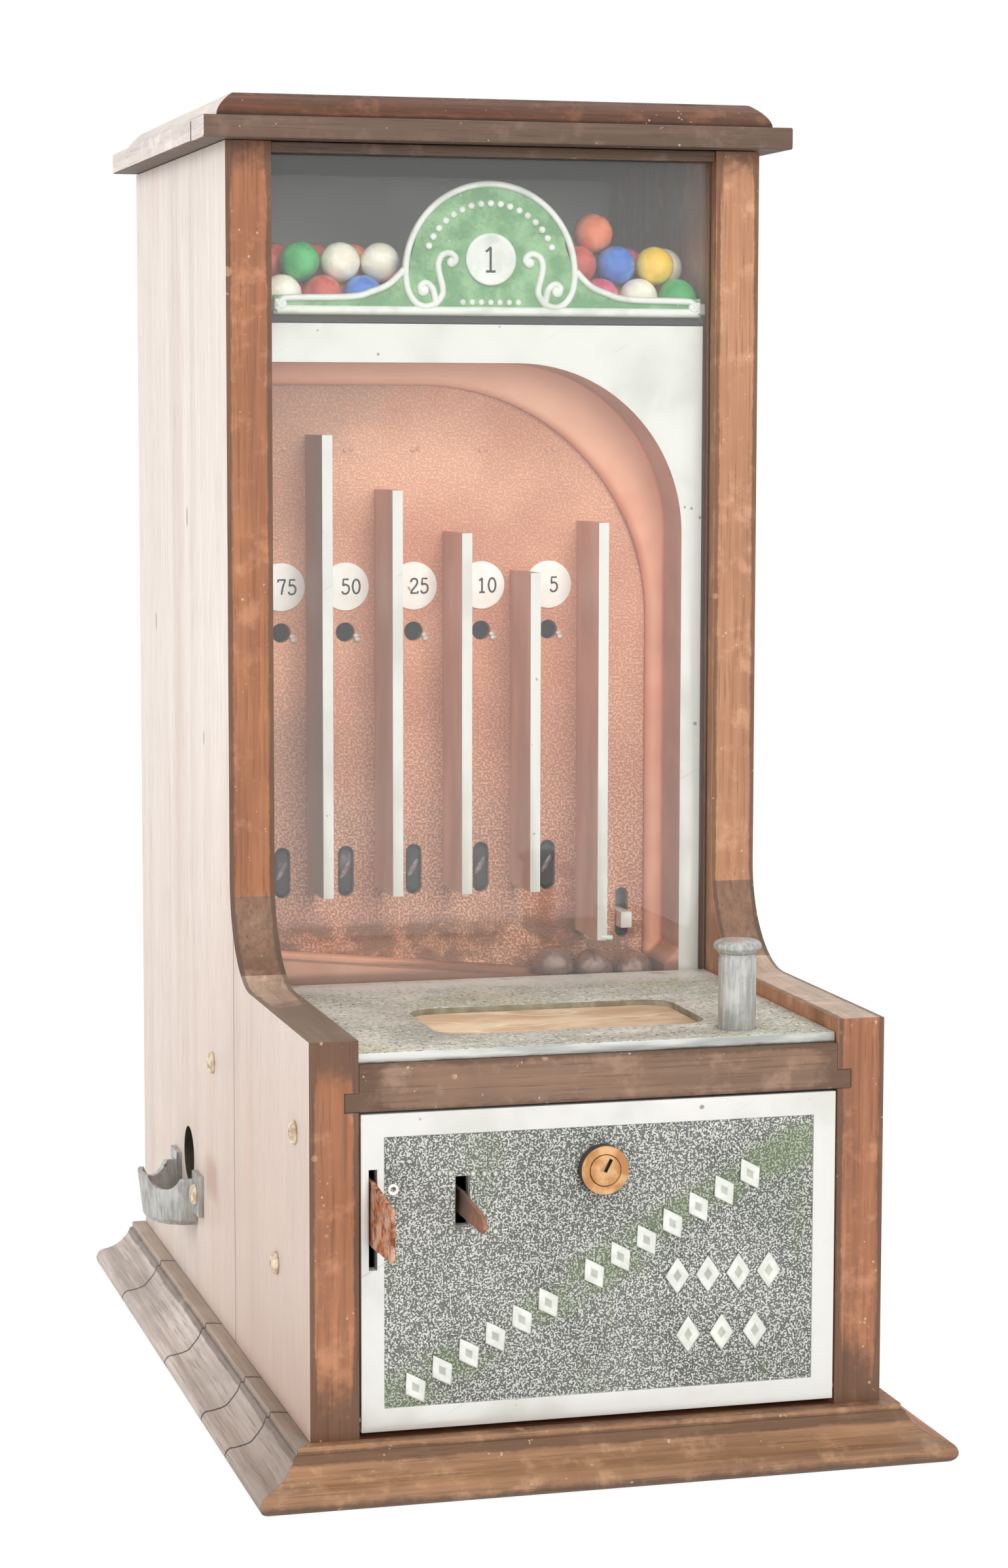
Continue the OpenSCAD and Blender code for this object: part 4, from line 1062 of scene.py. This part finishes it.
def shape_casting(shape):
    """Rolls over the step's inner edge and the front lip of the trough, and splits the front at the lane and at
    the trough's height.
    """
    rim = [e for e in shape.edges if e.is_manifold and e.calc_face_angle_signed() > 0.5
           and all(abs(v.co.y - STEP_Y) < 1e-5 for v in e.verts)]
    roll = {"segments": 5, "profile": 0.5, "affect": "EDGES"}
    bmesh.ops.bevel(shape, geom=rim, offset=4.2 * MM, clamp_overlap=True, **roll)
    for place, facing in (((LANE_X, 0, 0), (1, 0, 0)), ((0, 0, TROUGH_Z), (0, 0, 1))):
        fronts = [f for f in shape.faces if f.normal.y < -0.9 and f.calc_center_median().y < RIM_Y + 1e-5]
        around = {e for f in fronts for e in f.edges} | {v for f in fronts for v in f.verts}
        bmesh.ops.bisect_plane(shape, geom=fronts + list(around), plane_co=place, plane_no=facing, dist=1e-6)
    lip = [e for e in shape.edges if e.is_manifold and any(f.normal.z > 0.7 for f in e.link_faces)
           and all(abs(v.co.y - RIM_Y) < 1e-5 and v.co.z < 0.19 and v.co.x < 0.0605 for v in e.verts)]
    bmesh.ops.bevel(shape, geom=lip, offset=5.0 * MM, clamp_overlap=False, **roll)


def casting_face(normal, centre):
    """Copper, then buffed rib and frame fronts, then the shaded sides of the ribs."""
    if normal.y < -0.9 and centre.y < RIM_Y + 0.0005:
        return 0 if centre.z < TROUGH_Z and centre.x < LANE_X else 1
    on_rib = abs(centre.x) < 0.074 and RIM_Y < centre.y < FIELD_Y and centre.z > 0.18
    return 2 if abs(normal.x) > 0.9 and on_rib else 0


dressed("playfield_casting", [copper_paint, bright_casting, rib_shade], 0.5, 2, casting_face, shape_casting)
dressed("score_discs", [score_enamel], 0.2)
disc_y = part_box("score_discs")[0].y
labels = [(text, Vector((centre.x + 2.4 * MM, disc_y, centre.z)), 6.2)
          for text, (centre, size) in zip(("75", "50", "25", "10", "5"), islands("score_discs"))]
piece(numerals("score_numerals", labels, number_black, 0.42), "case", "score_enamel")
dimples = [spot(x + dx, 203, 390.5 + dz, (1.1, 0.7, 1.1))
           for x in (-82.5, -53.5, -24, 6, 36) for dx, dz in ((-1.3, 0), (1.2, 0.5))]
piece(set_out("field_dimples", dome("dimple"), dimples, light_copper), "case", "playfield")
eyes = [spot(x + dx, 202.9, 313 + dz, (1.5, 1.2, 1.1), (0, 0, 0.4))
        for x in COLUMNS for dx, dz in ((4.6, -1.6), (5.2, -3.2))]
piece(set_out("eye_rivets", dome("rivet"), eyes, raised_white), "case", "playfield")
foot = [[at(48.5, 170.5, 183.6), at(50.5, 170.0, 182.2), at(54.6, 169.9, 181.8)]]
piece(ridges("lane_foot", foot, 1.3, bright_casting), "case", "playfield")
comb_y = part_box("stop_comb")[0].y
# Painted highlight: pale steel domes in the middle of each slot stand in for the light on the comb's blades
highlight_spots = [(Vector((x * MM, comb_y + 0.2 * MM, 0.2105)), (0, 0.5, 0), mm(1.3, 0.6, 4.6)) for x in COLUMNS]
piece(set_out("blade_tips", dome("tip"), highlight_spots, plain_steel), body_of["stop_comb"], slot_of["stop_comb"])

# Marquee

dressed("marquee_plate", [marquee_green], 0.4)
ARCH_Z = 464.5


def on_plate(points, s=169.0):
    return [at(x, s, z) for x, z in points]


def mirrored(points):
    return [(-x, z) for x, z in points]


def arch_arc(radius, start, stop, count):
    turns = [math.radians(start + (stop - start) * i / count) for i in range(count + 1)]
    return [(radius * math.cos(a), ARCH_Z + radius * math.sin(a)) for a in turns]


scroll = [(-36.4, 462.2), (-35.4, 456.6), (-32.4, 452.0), (-28.2, 450.2), (-23.6, 451.6), (-20.8, 455.2),
          (-20.8, 458.8), (-22.1, 463.6), (-22.6, 467.8), (-20.9, 471.4), (-17.3, 472.3), (-15.0, 470.0),
          (-16.2, 467.9)]
hook = [(-23.6, 451.6), (-25.0, 457.6), (-28.0, 460.0), (-30.3, 458.3), (-29.2, 456.2)]
wing = [(-37.2, 465.4), (-43.4, 459.4), (-50.8, 456.2), (-59.5, 454.0), (-84.1, 453.4), (-88.4, 452.8),
        (-90.6, 450.4), (-89.0, 449.6), (-87.6, 450.8)]
border = scroll[::-1] + arch_arc(36.5, 176, 4, 22) + mirrored(scroll)
lines = [on_plate(smooth_line(border, 5))]
for path in (hook, wing):
    lines += [on_plate(smooth_line(path)), on_plate(smooth_line(mirrored(path)))]
curls = [spot(side * x, 169, z, (r, 1.3, r)) for side in (-1, 1)
         for x, z, r in ((29.0, 456.9, 2.5), (16.8, 468.6, 2.2), (88.4, 450.9, 1.7))]
band = [on_plate([(-91.0, 448.5), (91.0, 448.5)], 169.8)]
ends = [on_plate([(x, 448.5), (x, 452.8)]) for x in (-91.0, 91.0)]
disc = [(0, 0), (10.9, 0), (10.9, 0.7), (10.4, 1.1), (9.2, 1.1), (8.8, 0.8), (0, 0.8)]
beads = [spot(x, 169, z, (1.5, 1.0, 1.5)) for x, z in arch_arc(28.6, 158, 22, 16)]
beads += [spot(x, 169, 452.2, (1.3, 0.9, 1.3)) for x in range(-12, 13, 4)]
for trim in (ridges("marquee_edges", lines, 1.45, raised_white),
             set_out("marquee_curls", dome("curl"), curls, raised_white),
             ridges("marquee_band", band, 2.0, raised_white),
             ridges("marquee_ends", ends, 1.2, raised_white),
             turned("marquee_disc", disc, raised_white, at(0, 169, 470.0), "-y"),
             numerals("marquee_number", [("1", at(-0.4, 168.2, 470.0), 10.0)], number_black, 0.5),
             set_out("marquee_beads", dome("bead"), beads, raised_white)):
    piece(trim, "case", "marquee")

# Top casting, card and plunger

LIP_Y = FRONT + 0.0125


def plate_face(normal, centre):
    """Pitted top, then the worn front lip, then the walls of the card's recess, painted darker as shade."""
    if normal.y < -0.5 and centre.y < LIP_Y:
        return 1
    return 2 if abs(normal.z) < 0.3 and abs(centre.x) < 0.058 and FRONT + 0.03 < centre.y < FRONT + 0.1 else 0


dressed("striker_plate", [pitted_plate, worn_lip, recess_wall], 0.4, 2, plate_face)
dressed("instruction_card", [tan_card], 0.15)
dressed("plunger_bush", [pewter], 0.4)
knob_low, knob_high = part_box("plunger_cap")
shaft_low, shaft_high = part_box("plunger_shaft")
knob_r = (knob_high.x - knob_low.x) / 2 / MM
shaft_r = (shaft_high.x - shaft_low.x) / 2 / MM
cap_t = (knob_high.z - knob_low.z) / MM
stem_l = (knob_low.z - shaft_low.z) / MM
foot_l = 10.7
knob_at = ((knob_low.x + knob_high.x) / 2, (knob_low.y + knob_high.y) / 2)
knob_round = ((1.3, 0.2), (0.4, 0.34), (0, 0.52), (0.3, 0.70), (1.0, 0.84), (2.2, 0.94), (3.8, 0.985), (6.0, 1))
knob = [(0, 0), (shaft_r + 0.1, 0)] + [(knob_r - less, up * cap_t) for less, up in knob_round] + [(0, cap_t)]
stem = [(0, 0), (2.2, 0), (2.5, 0.4), (2.5, foot_l), (shaft_r - 0.8, foot_l), (shaft_r, foot_l + 0.8),
        (shaft_r, stem_l - 2.2), (shaft_r - 0.4, stem_l - 1.4), (shaft_r - 0.4, stem_l - 0.6), (shaft_r, stem_l),
        (0, stem_l)]
stands_for("plunger_cap", turned("plunger_knob", knob, pewter, (*knob_at, knob_low.z)))
stands_for("plunger_shaft", turned("plunger_stem", stem, pewter, (*knob_at, shaft_low.z)))

# Door

FIELD_S = 1.2
DOOR_BORDER = 9.0
TAB_X, TAB_Z = -0.055, 0.1095


def door_face(normal, centre):
    """Buffed edge, then plain metal on the rear and behind the pattern."""
    return 1 if normal.y > 0.5 or (normal.y < -0.5 and centre.y > FRONT + 0.001) else 0


def in_slot(place):
    """Is a place of the pattern in the lock's hole or in the left tab's slot?"""
    in_lock = math.hypot(place.x - lock_at.x, place.z - lock_at.z) < 9.2 * MM
    return in_lock or (abs(place.x - TAB_X) < 2.9 * MM and abs(place.z - TAB_Z) < 9.9 * MM)


dressed("door", [door_edge, door_back], 0.5, 2, door_face)
door_low, door_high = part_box("door")
door_mid = (door_low + door_high) / 2
field_w = (door_high.x - door_low.x) - 2 * DOOR_BORDER * MM
field_h = (door_high.z - door_low.z) - 2 * DOOR_BORDER * MM
lock_at = at(0, 0, 119.3)
for name, side in (("door_field_left", -1), ("door_field_right", 1)):
    centre = (door_mid.x + side * field_w / 4, FRONT + (FIELD_S - 0.04) * MM, door_mid.z)
    field = grown(name, worm_field, Width=field_w / 2, Height=field_h, Columns=290, Rows=320, Centre=centre,
                  Rise=0.45 * MM, Paint=door_texture)
    trimmed = bmesh.new()
    trimmed.from_mesh(field.data)
    waste = [face for face in trimmed.faces if in_slot(face.calc_center_median())]
    bmesh.ops.delete(trimmed, geom=waste, context="FACES")
    trimmed.to_mesh(field.data)
    trimmed.free()
    piece(field, "door", "door_casting")

# Diagonal band of lozenges with a gap in it, and two level rows
slope = math.atan2(116.8 - 36.6, 64.9 + 77.1)
shares = [(i + 0.35 + (0.75 if i > 5 else 0)) / 13.6 for i in range(13)]
diamonds = [spot(-77.1 + 142.0 * t, 1.1, 36.6 + 80.2 * t, (9.6, 1.2, 15.0), (0, -slope, 0)) for t in shares]
for first, step, count, z in ((30.5, 12.4, 4, 75.4), (35.0, 13.6, 3, 52.0)):
    diamonds += [spot(first + step * i, 1.1, z, (10.4, 1.2, 15.5)) for i in range(count)]
piece(set_out("door_lozenges", lozenge("lozenge"), diamonds, door_raised), "door", "door_casting")
studs = [spot(-68.5 + 4.4 * i, 1.1, z - 0.25 * i, (1.3, 0.9, 1.5)) for count, z in ((8, 120.9), (7, 98.6))
         for i in range(count) if abs(-68.5 + 4.4 * i + 55) > 3.2]
piece(set_out("door_studs", dome("stud"), studs, door_raised), "door", "door_casting")
ring = [(1.0, 0), (2.2, 0), (2.2, 0.9), (1.9, 1.2), (1.3, 1.2), (1.0, 0.8), (1.0, 0)]
piece(turned("door_ring", ring, raised_white, at(-82.0, 1.2, 115.5), "-y", 32), "door", "door_casting")
dressed("lock_housing", [worn_brass, shadow_metal], 0.5, 3, lambda n, c: 0 if n.y < -0.5 else 1)
plug_low, plug_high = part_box("lock_plug")
plug_z = (plug_low.z + plug_high.z) / 2
plug_r = (plug_high.x - plug_low.x) / 2 / MM
plug_l = (plug_high.y - plug_low.y) / MM
barrel = [(0, 0), (2.6, 0), (2.6, 4.0), (plug_r - 0.1, 4.0), (plug_r, 4.2), (plug_r, plug_l - 0.3),
          (plug_r - 0.3, plug_l), (plug_r - 1.5, plug_l), (0, plug_l)]
plug = turned("lock_barrel", barrel, worn_brass, (0, plug_high.y, plug_z), "-y")
key_way = Matrix.Translation((0, plug_low.y, plug_z)) @ Matrix.Rotation(math.radians(27), 4, "Y")
key_way = key_way @ Matrix.Translation(mm(0, 0, 2.1)) @ Matrix.Diagonal((*mm(1.4, 5, 5.4), 1))
cut_slot(plug, key_way, shadow_metal)
stands_for("lock_plug", plug)
for node, paint, edge in (("lock_nut", worn_brass, 0.4), ("lock_cam", plain_steel, 0.3),
                          ("door_hinge_pins", plain_steel, 0.3), ("coin_lever", rusty_sheet, 0.3),
                          ("gum_slide", dark_sheet, 0.3)):
    dressed(node, [paint], edge)

# Gum cup, screws, gum and steel balls

dressed("gum_cup", [pewter], 0.5)
HEAD_TALL = 0.56


def screw_head(name):
    """Pattern: a round head with its slot, of radius 1, facing the left side."""
    rings = [(0, -1.2), (0.42, -1.2), (0.42, 0), (1, 0), (1, 0.12), (0.93, 0.30), (0.78, 0.44), (0.52, 0.53),
             (0, HEAD_TALL)]
    head = turned(name, [(r / MM, h / MM) for r, h in rings], old_screw, axis="-x", steps=40)
    cut_slot(head, Matrix.Translation((-0.58, 0, 0)) @ Matrix.Diagonal((0.5, 0.24, 2.4, 1)), old_screw)
    return head


def lumpy_ball(name, rough):
    """Pattern: a ball of radius 1 with slight dents."""
    shape = bmesh.new()
    bmesh.ops.create_icosphere(shape, subdivisions=4, radius=1.0)
    for vert in shape.verts:
        vert.co *= 1.0 - rough * (0.5 + 0.5 * noise.noise(vert.co * 2.3))
    return finished(shape, name, raised_white)


draws = random.Random(7)


def screws(name, node):
    places = []
    for centre, size in islands(node):
        radius = size.y / 2
        seat = centre.x - size.x / 2 + HEAD_TALL * radius
        places.append((Vector((seat, centre.y, centre.z)), (draws.uniform(0, 3.1), 0, 0), (radius,) * 3))
    stands_for(node, set_out(name, screw_head(name + "_pattern"), places, old_screw))


def balls(name, node, paint, rough):
    places = [(centre, [draws.uniform(0, 6.2) for _ in range(3)], (size.x / 2,) * 3)
              for centre, size in islands(node)]
    stands_for(node, set_out(name, lumpy_ball(name + "_pattern", rough), places, paint))


screws("side_screw_heads", "side_screws")
screws("cup_screw_heads", "cup_screws")
for colour, (light, dark) in GUM.items():
    balls("gum_" + colour, "gumballs_" + colour, sugar_shell("gum_" + colour, light, dark), 0.02)
for i in (1, 2, 3):
    balls("game_ball_%d" % i, "steel_ball_%d" % i, ball_metal, 0.0)

# Works inside and at the back

spring_low, spring_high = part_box("kicker_spring")
spring_at = (spring_low + spring_high) / 2
spring = grown("kicker_coil", coil, Turns=9.0, Radius=3.0 * MM, Wire=0.5 * MM, Paint=plain_steel,
               Height=spring_high.z - spring_low.z, Foot=(spring_at.x, spring_at.y, spring_low.z))
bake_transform(spring)
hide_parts("kicker_spring")
for node in ("roof_hinge_case_leaves", "roof_hinge_lid_leaves"):
    dressed(node, [plain_steel], 0.2)
dressed("coin_plate", [worn_brass], 0.5, 3)
dressed("lane_gate", [raised_white], 0.3)
dressed("gum_hopper", [hopper_paint], 0.3)
dressed("stop_comb", [dark_steel], 0.25, 1)
for node in ("roof_hinge_pins", "comb_rods", "kicker_bracket", "kicker_pin", "kicker_arm", "coin_bracket",
             "coin_chute", "cash_box", "gum_tube", "gum_bed", "gum_chute"):
    dressed(node, [plain_steel], 0.25, 1)

# Stage

def seen(draw):
    """Is a ray one that the camera sees, straight, mirrored or through glass?"""
    paths = draw.values(draw.node("LightPath").outputs)
    return draw.most(*[paths["Is %s Ray" % kind] for kind in ("Camera", "Glossy", "Transmission")])


WHITE = (255, 255, 255)


@material(Base_Color=(0.9, 0.9, 0.9, 1), Roughness=0.9)
def floor_paper(skin):
    """White paper that glows where the camera sees it."""
    skin.mixed_in(seen(skin) * 0.8, skin.made("Emission", {"Color": WHITE, "Strength": 1.12}))


floor_mesh = bpy.data.meshes.new("floor")
floor_mesh.from_pydata([(-6, -6, 0), (6, -6, 0), (6, 6, 0), (-6, 6, 0)], [], [(0, 1, 2, 3)])
floor = placed("floor", floor_mesh, floor_paper)

world = bpy.data.worlds.new("studio")
world.use_nodes = True
scene.world = world
sky = Tree(world.node_tree)
backdrop = world.node_tree.nodes["Background"].inputs
sky.give(backdrop["Color"], WHITE)
sky.give(backdrop["Strength"], seen(sky).span(0.0, 1.0, 0.56, 1.0))


def lamp(name, place, target, size, power):
    light = bpy.data.lights.new(name, "AREA")
    light.shape = "DISK"
    light.size = size
    light.energy = power
    obj = placed(name, light)
    obj.location = place
    obj.visible_glossy = False
    obj.visible_transmission = False
    obj.rotation_euler = (Vector(target) - Vector(place)).to_track_quat("-Z", "Y").to_euler()


lamp("left_light", (-2.2, 0.05, 1.1), (-0.11, 0, 0.28), 1.5, 24)
lamp("front_light", (0.2, -2.4, 0.95), (0, -0.05, 0.3), 1.2, 28)
lamp("top_light", (0.15, -1.7, 1.8), (0, -0.05, 0.3), 1.0, 22)

# Camera as it stood for the photo
YAW, PITCH, ROLL = 0.2639, -0.1048, 0.0018
forward = Vector((math.sin(YAW) * math.cos(PITCH), math.cos(YAW) * math.cos(PITCH), math.sin(PITCH)))
right = Vector((math.cos(YAW), -math.sin(YAW), 0))
up = right.cross(forward)
right_rolled = right * math.cos(ROLL) + up * math.sin(ROLL)
up_rolled = up * math.cos(ROLL) - right * math.sin(ROLL)
eye = bpy.data.cameras.new("eye")
eye.lens = 80.92
eye.sensor_width = 36.0
eye.clip_start = 0.05
camera = placed("eye", eye)
turn = Matrix((right_rolled, up_rolled, -forward)).transposed().to_4x4()
camera.matrix_world = Matrix.Translation((-0.38186, -1.44609, 0.40613)) @ turn
scene.camera = camera

scene.view_settings.view_transform = "Standard"
